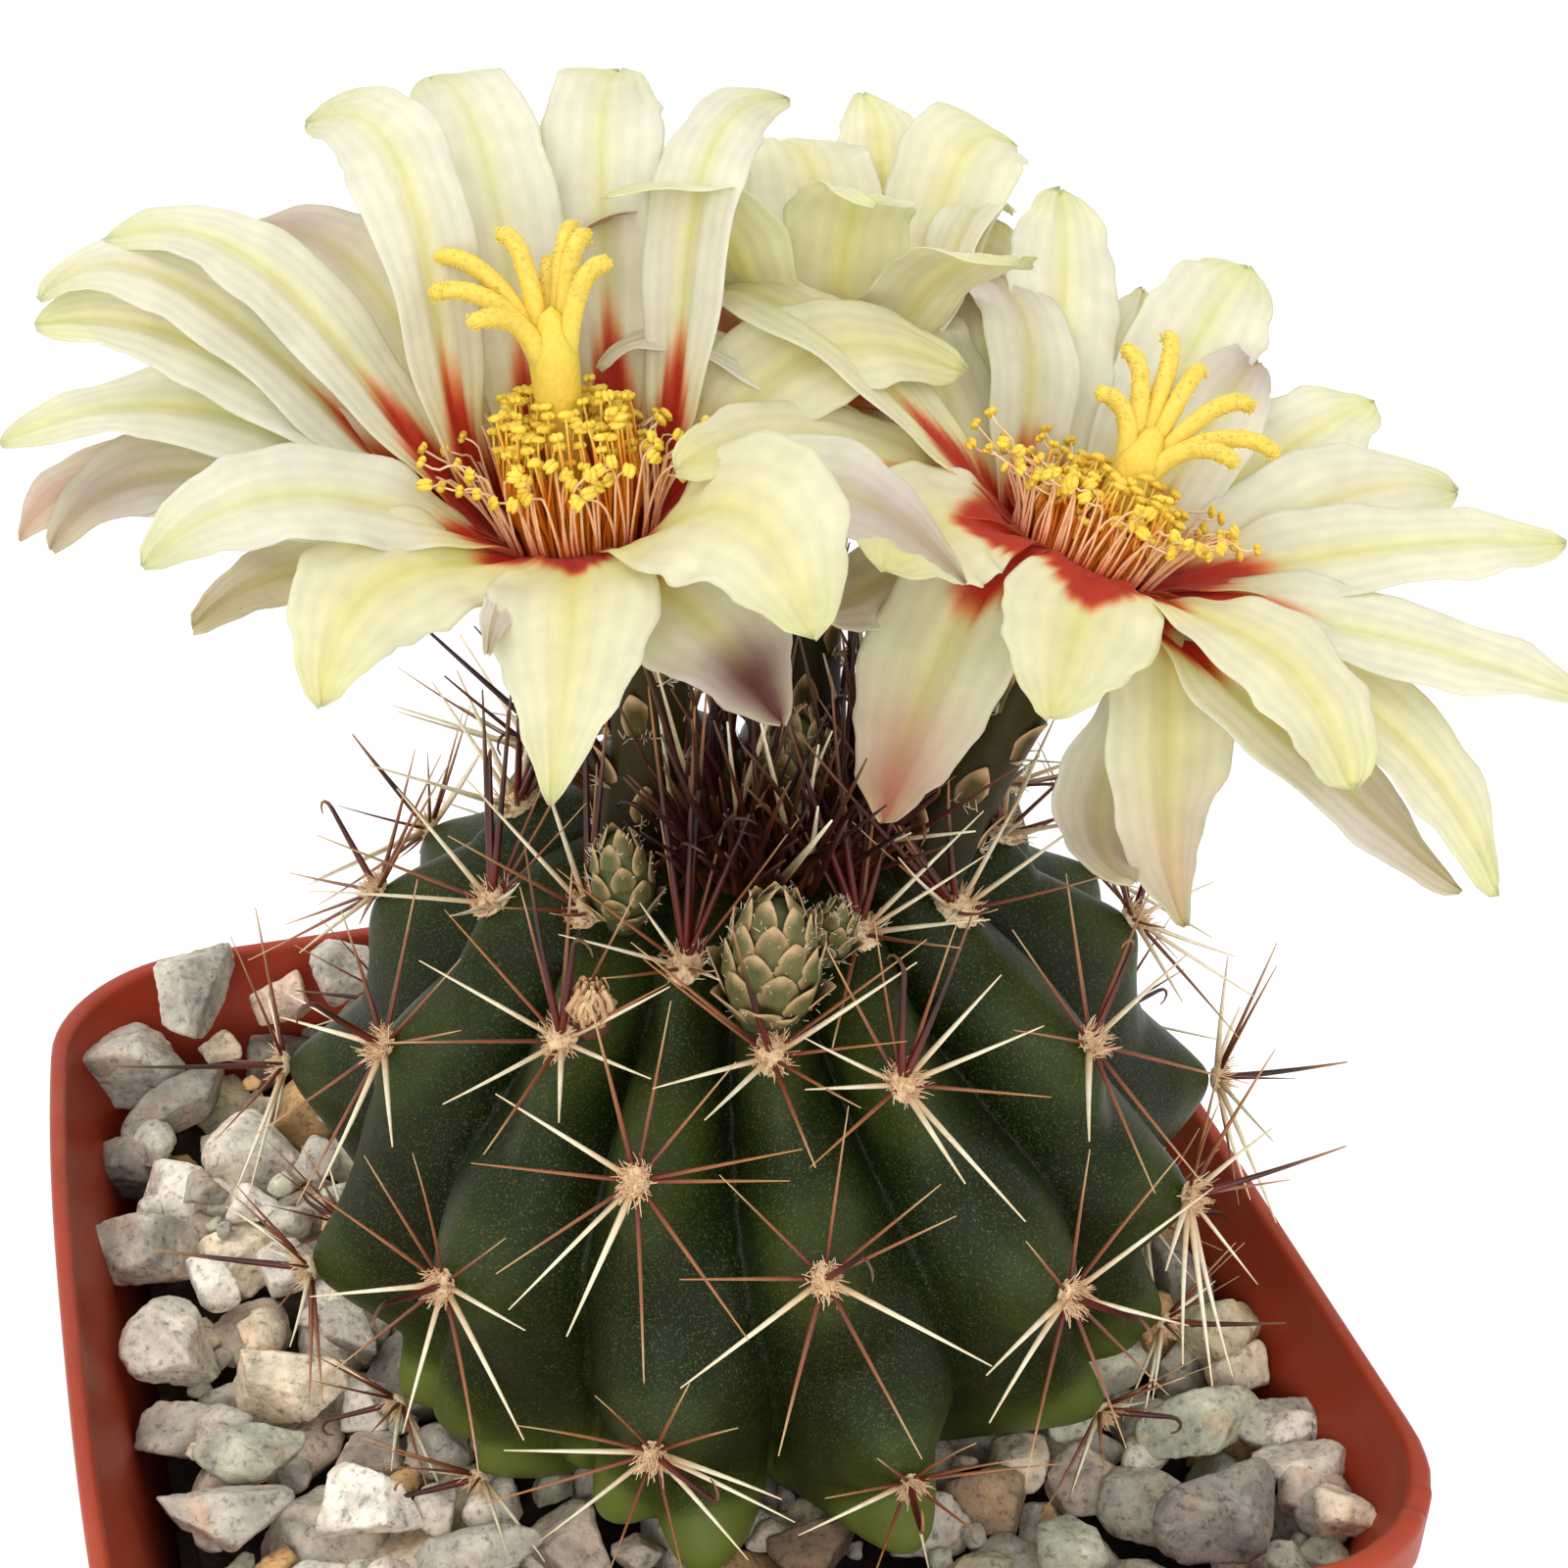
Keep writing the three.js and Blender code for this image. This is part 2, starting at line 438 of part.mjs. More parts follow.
// petals turn their faces this way, to the light
const FACE = V(-0.2498, -0.8004, 0.545).normalize();
function halfWidth(u, w) {
  const s = THREE.MathUtils.smoothstep(u, 0, 0.62);
  const body = 0.42 + 0.58 * s;
  const tipward = u > 0.62 ? Math.pow(Math.max(0, 1 - Math.pow((u - 0.62) / 0.38, 2.2)), 0.8) : 1;
  return Math.max(0.3, 0.5 * w * body * tipward);
}
function petal(F, row, e = 0) {
  const [, whorl, mx, my, mz, tx, ty, tz, w] = row;
  const tip = V(tx, ty, tz), mid = V(mx, my, mz);
  const P = petalMidrib(F, whorl, mid, tip);
  // tangent and upper face of the petal at u, before it turns on its midrib
  const faceAt = (u) => {
    const t = bezier(P, Math.min(1, u + 0.03)).sub(bezier(P, Math.max(0, u - 0.03))).normalize();
    const probe = bezier(P, Math.max(0.35, u)).sub(F.centre);
    const out = probe.addScaledVector(F.axis, -probe.dot(F.axis)).normalize();
    const side = new THREE.Vector3().crossVectors(F.axis, out).normalize();
    const n = new THREE.Vector3().crossVectors(t, side).normalize();
    if (n.dot(F.axis) < 0 && Math.abs(n.dot(F.axis)) > Math.abs(n.dot(out))) n.negate();
    return { t, n };
  };
  const ref = faceAt(0.55), want = FACE.clone().addScaledVector(ref.t, -FACE.dot(ref.t)).normalize();
  const off = Math.atan2(new THREE.Vector3().crossVectors(ref.n, want).dot(ref.t), ref.n.dot(want));
  const turn = Math.abs(off) < 1.9 ? THREE.MathUtils.clamp(0.58 * off, -0.62, 0.62) : 0;
  const g = new THREE.BoxGeometry(1, 1, 1, 1, 4, 1);
  warp(g, (v) => {
    const u = THREE.MathUtils.clamp(v.y + 0.5, 0, 1), s = 2 * v.x;
    const c = bezier(P, u);
    const { t, n } = faceAt(u);
    n.applyAxisAngle(t, turn * THREE.MathUtils.smoothstep(u, 0, 0.42));
    const side = new THREE.Vector3().crossVectors(n, t).normalize();
    const h = halfWidth(u, 1.08 * w) + e;
    return c.addScaledVector(side, s * h).addScaledVector(n, 0.22 * h * s * s * (1 - 0.4 * u) + v.z * (PETAL_T + 2 * e)).addScaledVector(t, e * (2 * v.y));
  });
  let m = solid(g);
  if (m.volume() < 0) m = solid(flip(g));
  return m;
}
function flip(g) {
  const h = g.clone();
  const ix = h.index.array;
  for (let i = 0; i < ix.length; i += 3) { const t = ix[i]; ix[i] = ix[i + 1]; ix[i + 1] = t; }
  return h;
}
// a turned collar about the flower's axis, heights measured from its centre
function collar(F, profile, segments = 14) {
  return solid(turned(profile, segments).applyMatrix4(frameAt(F.centre, F.axis)));
}
function whorl(F, rows, which, e = 0) {
  const list = rows.filter((r) => r[1] === which).map((r) => petal(F, r, e));
  const ring = which === 'i'
    ? [[4.6 - e, -2.8 - e], [5.9 + e, -2.8 - e], [6.4 + e, -0.8 + e], [5.1 - e, -0.8 + e], [4.6 - e, -2.8 - e]]
    : [[4.1 - e, -5.9 - e], [5.2 + e, -5.9 - e], [6.0 + e, -3.2 + e], [4.7 - e, -3.2 + e], [4.1 - e, -5.9 - e]];
  list.push(collar(F, ring, 12));
  return joined(list);
}
function floralTube(F, e = 0) {
  const L = F.length;
  return collar(F, [
    [0, -L - e], [TUBE_R * 0.95 + e, -L - e], [TUBE_R + 0.2 + e, -L + 6], [TUBE_R - 0.3 + e, -L + 13], [TUBE_R + 0.3 + e, -9.5], [5.0 + e, -6.25 + e],
    [3.9 - e, -6.25 + e], [2.8 - e, -12.0 + e], [0, -12.0 + e],
  ], 10);
}
function stamens(F, e = 0) {
  return collar(F, [
    [0, -11.6 - e], [2.35 + e, -11.6 - e], [3.0 + e, -7.5], [3.5 + e, -5.5], [4.2 + e, -2.6], [4.6 + e, 0.5], [5.6 + e, 5.4 + e],
    [4.3 - e, 5.6 + e], [3.2 - e, 0.5], [2.2 - e, -6.0], [1.75 - e, -9.6 + e], [0, -9.6 + e],
  ], 10);
}
function pistil(F, fi, e = 0) {
  const list = [collar(F, [[0, -9.25 - e], [STYLE_R * 0.8 + e, -9.25 - e], [STYLE_R + e, 2], [STYLE_R * 1.5 + e, 8.0], [STYLE_R * 1.6 + e, 9.6 + e], [0, 9.8 + e]], 8)];
  const top = F.centre.clone().addScaledVector(F.axis, 8.6);
  const s = new THREE.Vector3().crossVectors(V(0, 1, 0), F.axis).normalize();
  const u = new THREE.Vector3().crossVectors(F.axis, s);
  for (let j = 0; j < 6; j++) {
    const a = j * Math.PI * 2 / 6 + fi;
    const d = s.clone().multiplyScalar(Math.cos(a)).addScaledVector(u, Math.sin(a)).multiplyScalar(0.74).addScaledVector(F.axis, 0.67);
    list.push(solid(thorn(top, top.clone().addScaledVector(d, 7.2), 0.85 + e, 0.55 + e, 3)));
  }
  return joined(list);
}
function bud([x, y, z, l, r, lx, ly], e = 0) {
  const g = turned([[0, -e], [r * 0.62 + e, -e], [r + e, l * 0.32], [r * 0.92 + e, l * 0.55], [r * 0.5 + e, l * 0.86], [0, l + e]], 12);
  return solid(g.applyMatrix4(frameAt(V(x, y, z), V(lx, ly, 1))));
}
function remnant(e = 0) {
  const g = turned([[0, 0 - e], [1.1 + e, 0 - e], [0.9 + e, 1.2], [1.7 + e, 2.6], [1.2 + e, 3.9], [0, 4.6 + e]], 9);
  return solid(g.applyMatrix4(frameAt(V(-10.9, -16.2, 114.6), V(-0.1, -0.45, 1))));
}

// ---------------------------------------------------------------- stones
function stone([x, y, z, a, b, , turn], seed, e = 0) {
  const rnd = mulberry(7 + seed * 13);
  const cuts = [];
  for (let i = 0; i < 9; i++) {
    const th = rnd() * Math.PI * 2, c = rnd() * 2 - 1, s = Math.sqrt(1 - c * c);
    cuts.push([V(s * Math.cos(th), s * Math.sin(th), c), 0.72 + 0.22 * rnd()]);
  }
  const g = new THREE.IcosahedronGeometry(1, 1);
  const h = 0.78 * b;
  warp(g, (v) => {
    const d = v.clone().normalize();
    let r = 1;
    for (const [n, k] of cuts) { const q = d.dot(n); if (q > 1e-3) r = Math.min(r, k / q); }
    return V(d.x * (a * r + e), d.y * (b * r + e), d.z * (h * r + e));
  });
  g.rotateZ(rad(turn)).translate(x, y, z);
  return solid(g);
}

// ---------------------------------------------------------------- assembly
const COLOURS = {
  pot: [0xb04a30, 0.5], mix: [0x3a2a20, 0.95], bed: [0x8d8578, 0.9], stem: [0x2c4a2a, 0.6], spines: [0xd9c9a0, 0.6],
  tube: [0x4c6030, 0.6], petals: [0xf2ecbf, 0.6], outer: [0xe8dcae, 0.6], stamens: [0xe6a72b, 0.7], pistil: [0xf7d44e, 0.7],
  bud: [0x6d7f4c, 0.7], remnant: [0xb98f5c, 0.9],
};
const STONE_COLOURS = { grey: 0x8f8d88, dark: 0x6c6a68, pale: 0xb4b0a6, cream: 0xcbbda2, ochre: 0xb98a55, green: 0xa9b09c, greenbeige: 0xa8a184, white: 0xd8d4ca, pink: 0xb79a8a, pinkgrey: 0xa0928a, darkbrown: 0x5c4a3d, brown: 0x87705a };

const pieces = [];     // { name, base: solid, cutter: solid grown by the gap, colour, roughness }
function piece(name, build, colour, roughness) {
  // needles get a wider berth than broad faces
  pieces.push({ name, base: build(0), cutter: build(name.startsWith('spines') ? 2.2 * GAP : GAP), colour, roughness });
}
function boxesMeet(a, b) {
  const p = a.boundingBox(), q = b.boundingBox();
  for (let i = 0; i < 3; i++) if (p.min[i] > q.max[i] || q.min[i] > p.max[i]) return false;
  return true;
}
const TOLERANCE = (name) => (name.startsWith('stone') || name === 'gravel_bed' ? 0.1 : 0.03);
// the biggest connected body of what is left after its earlier neighbours are cut away
function trimmed(index) {
  let m = pieces[index].base;
  for (let j = 0; j < index; j++) {
    if (pieces[j].cutter && boxesMeet(m, pieces[j].cutter)) m = m.subtract(pieces[j].cutter);
  }
  m = m.simplify(TOLERANCE(pieces[index].name));
  const bodies = m.decompose();
  let best = bodies[0];
  for (const b of bodies) if (b.volume() > best.volume()) best = b;
  return best;
}

piece('square_pot', () => pot(), ...COLOURS.pot);
piece('cactus_stem', (e) => stem(e), ...COLOURS.stem);
STONES.forEach((s, i) => piece(`stone_${String(i + 1).padStart(2, '0')}`, (e) => stone(s, i, e), STONE_COLOURS[s[5]], 0.9));
piece('gravel_bed', () => gravelBed(), ...COLOURS.bed);
piece('potting_mix', () => pottingMix(), ...COLOURS.mix);
FLOWERS.forEach((f, i) => {
  const F = flowerFrame(f), n = `${FLOWER_NAMES[i]}_flower`;
  piece(`${n}_tube`, (e) => floralTube(F, e), ...COLOURS.tube);
  piece(`${n}_pistil`, (e) => pistil(F, i, e), ...COLOURS.pistil);
  piece(`${n}_stamens`, (e) => stamens(F, e), ...COLOURS.stamens);
});
FLOWERS.forEach((f, i) => {
  const F = flowerFrame(f), n = `${FLOWER_NAMES[i]}_flower`;
  piece(`${n}_inner_petals`, (e) => whorl(F, f.petals, 'i', e), ...COLOURS.petals);
});
FLOWERS.forEach((f, i) => {
  const F = flowerFrame(f), n = `${FLOWER_NAMES[i]}_flower`;
  piece(`${n}_outer_petals`, (e) => whorl(F, f.petals, 'o', e), ...COLOURS.outer);
});
BUDS.forEach((b, i) => piece(`bud_${i + 1}`, (e) => bud(b, e), ...COLOURS.bud));
piece('dried_flower_remnant', (e) => remnant(e), ...COLOURS.remnant);
RIBS.forEach((r, i) => piece(`spines_rib_${String(i + 1).padStart(2, '0')}`, (e) => spineCluster(i, e), ...COLOURS.spines));

const group = new THREE.Group();
group.name = 'potted_round_cactus';
pieces.forEach((p, i) => {
  const mesh = new THREE.Mesh(geometryOf(trimmed(i)), new THREE.MeshStandardMaterial({ color: p.colour, roughness: p.roughness, metalness: 0 }));
  mesh.name = p.name;
  group.add(mesh);
});
export default group;
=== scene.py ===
"""Looks for the potted round cactus. All lengths in the tables are millimetres in the row frame; objects are in metres."""
import bpy
import math
import random
import numpy as np
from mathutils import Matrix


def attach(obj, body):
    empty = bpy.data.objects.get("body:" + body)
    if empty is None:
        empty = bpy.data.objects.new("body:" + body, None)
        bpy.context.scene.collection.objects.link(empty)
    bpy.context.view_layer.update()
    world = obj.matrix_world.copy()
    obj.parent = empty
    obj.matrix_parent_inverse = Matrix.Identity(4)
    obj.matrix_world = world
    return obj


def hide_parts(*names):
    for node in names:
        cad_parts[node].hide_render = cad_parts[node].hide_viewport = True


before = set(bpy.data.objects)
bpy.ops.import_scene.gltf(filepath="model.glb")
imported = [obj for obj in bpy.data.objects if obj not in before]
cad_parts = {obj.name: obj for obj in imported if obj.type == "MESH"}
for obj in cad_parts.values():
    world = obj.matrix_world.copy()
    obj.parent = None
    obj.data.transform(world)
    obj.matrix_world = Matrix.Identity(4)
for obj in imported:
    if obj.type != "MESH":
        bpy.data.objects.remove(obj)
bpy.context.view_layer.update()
MM = 0.001
A = np.array
scene = bpy.context.scene

# ------------------------------------------------------------------ tables
RIBS = [
    [[-172, 115.0], [-165.6, 107.6], [-172.9, 86.3], [-163, 76.0]],
    [[-150.8, 116.8], [-137.7, 113.0], [-141.6, 98.7], [-146.5, 74.6]],
    [[-121.9, 116.3], [-120.6, 108.4], [-116.2, 90.4]],
    [[-103.8, 113.8], [-98.3, 103.9], [-88.0, 85.9]],
    [[-80.2, 117.1], [-84.7, 112.4], [-69.7, 98.5], [-53.9, 79.3]],
    [[-53.6, 116.5], [-52.8, 110.3], [-45.9, 97.6], [-40, 82.0]],
    [[-18, 116.3], [-16, 108.6], [-14, 93.0], [-12, 78.0]],
    [[10, 114.2], [12, 103.2], [15, 86.0]],
    [[38, 116.3], [40, 108.6], [42, 93.0], [44, 78.0]],
    [[67, 114.2], [69, 103.2], [72, 86.0]],
    [[97, 116.3], [99, 108.6], [101, 93.0], [103, 78.0]],
    [[127, 114.2], [129, 103.2], [132, 86.0]],
    [[158, 116.3], [160, 108.6], [162, 93.0], [164, 78.0]],
]
CHINS = [[-152, 79.5, 3.6], [-128, 75.5, 4.8], [-110, 74.5, 6.2], [-84, 75.5, 5.8], [-40, 79, 3.4], [10, 78, 4], [70, 77, 4], [125, 78, 4]]
FLOWERS = [
    {"base": [-5.5, -3.5, 116.6], "C": [-7.4, 1.7, 143.0], "bend": [3.0, -0.9, 0.1], "pet": [
        ["a", "i", -15.5, 9.4, 159.7, -19.9, 27.2, 159.8, 8.0, 0],
        ["b", "i", -9.7, 13.7, 158.6, -11.3, 28.4, 162.0, 8.2, 0],
        ["c", "i", -2.6, 13.7, 158.0, 1.8, 27.0, 162.1, 9.0, 0],
        ["d", "i", 2.3, 8.8, 158.7, 12.2, 21.0, 161.3, 8.2, 0],
        ["e", "o", -14.4, 17.1, 149.1, -19.5, 28.4, 149.5, 7.0, 0],
        ["f", "i", -23.6, 8.5, 155.5, -34.7, 10.9, 159.0, 8.0, 0],
        ["g", "o", -27.9, 8.2, 154.8, -38.9, 7.5, 156.9, 7.5, 0],
        ["h", "i", -27.1, 7.1, 151.7, -39.4, 7.0, 155.6, 8.0, 0],
        ["i", "i", -28.1, 6.0, 148.8, -42.4, 4.0, 149.4, 7.6, 0],
        ["j", "o", -31.6, 4.3, 145.6, -42.0, 1.6, 144.0, 6.5, 1],
        ["k", "o", -29.2, 4.5, 145.6, -40.3, -0.9, 144.5, 6.5, 1],
        ["l", "i", -24.5, -2.3, 147.0, -35.3, -8.8, 146.8, 7.0, 0],
        ["m", "o", -23.8, 1.7, 139.7, -32.8, -7.4, 141.6, 5.5, 2],
        ["n", "i", -21.0, -7.0, 143.1, -26.4, -15.8, 140.1, 9.0, 0],
        ["o", "i", -11.2, -14.0, 141.7, -14.6, -23.4, 136.2, 9.5, 0],
        ["p", "o", -2.4, -12.2, 140.5, -0.3, -21.9, 138.8, 9.0, 1],
        ["q", "i", -0.7, -11.5, 147.7, 1.6, -21.6, 144.0, 11.0, 0],
        ["r", "i", 6.4, 14.0, 145.1, 18.6, 17.9, 147.8, 8.0, 0],
        ["s", "o", 5.7, 13.8, 140.4, 17.0, 18.4, 137.8, 8.0, 0],
        ["t", "o", -13.8, -8.8, 141.9, -16.6, -16.0, 142.4, 5.5, 2],
        ["u", "o", -5.8, 17.1, 153.3, -3.5, 30.6, 153.4, 7.5, 1],
        ["v", "o", -17.6, 13.5, 153.1, -27.2, 23.3, 153.2, 7, 1],
        ["w", "i", 7.9, 4.2, 149.5, 20.1, 4.6, 147.4, 8.0, 0],
        ["x", "o", 6.0, -6.0, 145.5, 14.7, -11.9, 140.8, 7.5, 1],
    ]},
    {"base": [13.2, -10.0, 115.8], "C": [26.8, -4.5, 139.6], "bend": [0, 0, 0], "pet": [
        ["a", "i", 30.2, 12.5, 146.3, 33.7, 22.9, 152.4, 7.8, 0],
        ["b", "o", 34.2, 9.7, 142.3, 39.1, 18.7, 145.9, 7.0, 0],
        ["c", "i", 38.1, 8.8, 144.1, 46.4, 16.7, 147.8, 8.2, 0],
        ["d", "o", 38.8, 4.1, 142.4, 45.6, 11.8, 142.3, 6.5, 1],
        ["e", "i", 42.8, 3.6, 138.4, 53.8, 8.6, 139.9, 8.0, 0],
        ["f", "o", 44.6, -2.3, 138.0, 56.3, -0.3, 136.5, 8.0, 0],
        ["g", "i", 45.5, -8.2, 137.5, 59.2, -10.2, 137.1, 8.0, 0],
        ["h", "i", 42.7, -16.9, 135.8, 52.8, -27.5, 135.0, 8.5, 0],
        ["i", "i", 39.4, -21.3, 133.3, 45.2, -30.4, 124.0, 8.0, 0],
        ["j", "i", 32.2, -20.7, 138.2, 34.7, -28.2, 132.4, 8.5, 0],
        ["k", "o", 33.7, -22.0, 132.4, 43.4, -29.0, 123.7, 7.5, 2],
        ["l", "i", 27.1, -17.9, 129.4, 27.8, -21.8, 118.7, 9.0, 1],
        ["m", "o", 25.0, -13.4, 125.8, 22.6, -24.3, 124.9, 7.0, 2],
        ["n", "i", 21.3, -14.9, 138.4, 17.5, -20.6, 135.6, 9.5, 0],
        ["o", "i", 13.7, -9.5, 132.8, 7.9, -17.5, 127.4, 10.5, 1],
        ["p", "i", 15.0, -7.0, 142.5, 8.9, -12.8, 142.9, 9.0, 0],
        ["q", "i", 8.9, -1.9, 146.0, -2.9, -6.9, 148.3, 9.0, 0],
        ["r", "o", 12.7, -1.6, 136.0, 4.3, -12.8, 140.8, 7.0, 2],
        ["s", "o", 5.5, 6.0, 148.9, -4.6, 7.0, 149.2, 6.5, 2],
        ["t", "i", 11.0, 5.6, 150.4, 5.0, 16.8, 149.5, 9.0, 0],
        ["u", "o", 20.3, 10.7, 145.1, 21.7, 23.2, 146.5, 7.5, 0],
        ["v", "i", 25.2, 12.2, 144.3, 29.5, 23.3, 147.5, 8.0, 0],
        ["x", "o", 26.9, 10.5, 147.1, 23.1, 22.3, 146.8, 7.5, 1],
    ]},
    {"base": [9.5, 4.5, 118.0], "C": [14.0, 19.0, 142.5], "bend": [0, 0, 0], "pet": [
        ["a", "i", 17.7, 30.7, 150.1, 16.1, 41.6, 150.3, 8.5, 0],
        ["b", "i", 23.1, 32.0, 149.5, 24.7, 42.3, 153.8, 7.0, 0],
        ["c", "i", 26.0, 26.0, 151.8, 34.5, 33.9, 151.8, 9.0, 0],
        ["d", "o", 24.8, 20.1, 150.1, 32.6, 29.0, 148.7, 6.5, 0],
        ["e", "o", 16.6, 30.6, 146.7, 15.3, 39.3, 147.9, 7.0, 0],
        ["f", "i", 25.3, 21.0, 145.9, 30.7, 28.4, 148.3, 8.0, 0],
        ["g", "i", 19.6, 10.9, 151.2, 23.1, 3.7, 155.4, 9.0, 0],
        ["h", "i", 5.0, 12.2, 156.5, -4.1, 6.1, 161.1, 7.0, 0],
        ["i", "i", 3.3, 21.2, 155.3, -7.9, 19.0, 159.9, 8.0, 0],
        ["j", "i", 3.2, 27.7, 153.0, -8.8, 31.6, 155.3, 8.0, 0],
        ["k", "i", 6.1, 33.2, 150.3, -3.4, 42.4, 149.5, 8.0, 0],
        ["l", "o", 10.5, 35.6, 146.5, 5.8, 46.8, 142.5, 7.5, 1],
        ["m", "i", 10.7, 34.8, 148.9, 5.6, 46.4, 146.9, 8.0, 0],
        ["o", "o", 1.8, 29.9, 148.5, -9.8, 35.1, 146.8, 7.0, 1],
        ["p", "o", 3.5, 16.0, 153.6, -5.9, 10.2, 156.7, 7.0, 2],
        ["n", "o", 17.6, 34.8, 142.6, 19.6, 44.6, 136.1, 7.0, 1],
        ["r", "i", 14.3, 13.4, 154.5, 13.5, 5.2, 159.6, 8, 0],
    ]},
]
LOBES = [
    {"foot": [-8.14, 2.72, 147.65], "split": [-8.22, 3.96, 154.51], "tips": [[-5.09, 6.88, 158.43], [-15.45, 5.43, 156.03], [-14.8, 8.86, 156.89], [-10.61, 7.54, 158.66], [-5.62, 8.77, 158.28], [-4.66, 2.81, 158.03], [-13.67, 1.96, 155.35], [-7.14, 9.39, 155.8]]},
    {"foot": [28.13, -4.41, 140.95], "split": [30.63, -3.36, 145.41], "tips": [[30.03, 1.4, 149.44], [27.07, -1.71, 148.01], [35.19, -0.04, 147.91], [37.71, -3.09, 146.37], [37.84, -7.18, 144.9], [34.32, -8.36, 145.15], [33.69, 2.66, 149.39]]},
    {"foot": [14.47, 20.51, 145.05], "split": [15.25, 23.02, 149.3], "tips": [[20.65, 26.47, 151.21], [17.33, 29.32, 150.13], [12.93, 29.03, 151.11], [10.78, 25.8, 153.42], [12.48, 22.08, 155.31], [16.76, 20.66, 155.36], [20.4, 22.61, 153.54]]},
]
BUDS = [
    [0.3, -18.6, 114.2, 11.0, 3.3, -0.03, -0.22],
    [-6.9, -9.4, 116.6, 8.0, 2.3, -0.1, -0.15],
    [4.9, -16.2, 116.4, 5.0, 1.6, 0.1, -0.25],
    [5.9, -4.6, 119.4, 8.5, 2.6, 0.05, -0.05],
]
STONES = [
    [-38.3, 37.0, 75.1, 5.6, 4.6, "grey", 20],
    [30.6, -33.6, 75.0, 5.6, 4.2, "dark", 5],
    [-31.2, -2.1, 73.5, 5.2, 4.4, "cream", -20],
    [-29.7, 25.5, 72.0, 5.2, 4.3, "pale", 15],
    [-33.1, 37.2, 81.1, 5.3, 4.0, "grey", 55],
    [-37.6, -14.2, 74.0, 5.8, 3.2, "grey", -15],
    [33.6, -24.4, 73.5, 5.3, 3.4, "green", -5],
    [-39.7, 14.5, 72.5, 3.4, 4.9, "grey", 65],
    [-38.7, 3.9, 73.0, 3.9, 3.9, "pale", 60],
    [-35.4, 30.3, 75.0, 5.4, 2.6, "dark", 25],
    [-40.1, 28.5, 70.5, 3.0, 4.5, "dark", 85],
    [38.9, -8.3, 72.0, 3.5, 3.8, "dark", 40],
    [38.9, -16.4, 73.5, 3.5, 3.8, "greenbeige", 60],
    [39.0, 0.9, 71.0, 3.6, 3.6, "cream", 0],
    [-33.8, -9.0, 73.5, 4.8, 2.6, "green", -12],
    [38.7, -24.4, 72.5, 4.0, 3.1, "grey", -15],
    [-32.8, 14.6, 70.5, 3.5, 3.5, "cream", 0],
    [-21.5, 38.7, 80.2, 3.6, 3.2, "grey", -10],
    [3.1, -26.7, 72.0, 4.2, 2.7, "darkbrown", 0],
    [-21.5, -22.1, 73.0, 5.2, 2.1, "grey", -10],
    [-27.4, -15.3, 73.0, 2.8, 3.9, "white", 75],
    [-36.0, 26.9, 68.5, 3.5, 3.1, "ochre", 10],
]
SMALL = [
    [16.3, -25.5, 71.0, 3.6, 2.9, "brown", 0],
    [23.9, -25.4, 71.0, 3.3, 3.0, "pinkgrey", 10],
    [-40.3, -2.6, 70.5, 3.4, 2.9, "grey", 10],
    [-26.2, 39.1, 77.1, 2.8, 3.2, "pink", 0],
    [39.4, -19.0, 72.5, 3.1, 2.8, "cream", -20],
    [38.8, -30.1, 73.5, 3.9, 2.2, "pale", -10],
    [39.2, -1.4, 70.5, 2.4, 3.4, "ochre", 70],
    [35.6, -11.7, 71.0, 3.0, 2.7, "ochre", 0],
    [39.7, -35.3, 74.0, 2.6, 2.8, "cream", 20],
    [35.1, -16.6, 70.5, 2.8, 2.3, "grey", 0],
    [38.4, -32.4, 72.5, 2.0, 3.2, "pinkgrey", 80],
    [39.6, -34.2, 72.5, 2.0, 2.9, "grey", 70],
    [40.1, -26.5, 72.5, 1.9, 2.4, "white", 80],
]
BOW = 2.4
POT_RIM, POT_FOOT, POT_H, BAND_H, BAND_T, WALL, CORNER_R, FLOOR_T = 90.0, 64.0, 80.0, 5.5, 0.9, 1.4, 11.0, 2.0
SX, SY, SR, SZ, SUP, SDN = 5.0, 0.0, 33.0, 94.0, 26.0, 34.0

# ------------------------------------------------------------------ camera and light
CAM_C = A([-39.64, -148.79, 220.80])
FWD = A([0.2498, 0.8004, -0.5450])
RIGHT = A([0.9590, -0.2824, 0.0248])
FWD = FWD / np.linalg.norm(FWD)
RIGHT = RIGHT - FWD * RIGHT.dot(FWD)
RIGHT = RIGHT / np.linalg.norm(RIGHT)
UPV = np.cross(RIGHT, FWD)
from mathutils import Matrix, Vector
cam = bpy.data.objects.new("camera", bpy.data.cameras.new("camera"))
scene.collection.objects.link(cam)
m = Matrix.Identity(4)
for i in range(3):
    m[i][0], m[i][1], m[i][2], m[i][3] = RIGHT[i], UPV[i], -FWD[i], CAM_C[i] * MM
cam.matrix_world = m
cam.data.sensor_width = 36
cam.data.lens = 60.75
cam.data.clip_start = 0.01
scene.camera = cam
scene.view_settings.view_transform = "Standard"


def area(name, loc, target, size, power, colour=(1, 1, 1)):
    l = bpy.data.lights.new(name, "AREA")
    l.shape = "DISK"
    l.size = size
    l.energy = power
    l.color = colour
    o = bpy.data.objects.new(name, l)
    scene.collection.objects.link(o)
    o.location = loc
    o.rotation_euler = (Vector(target) - Vector(loc)).to_track_quat("-Z", "Y").to_euler()
    return o


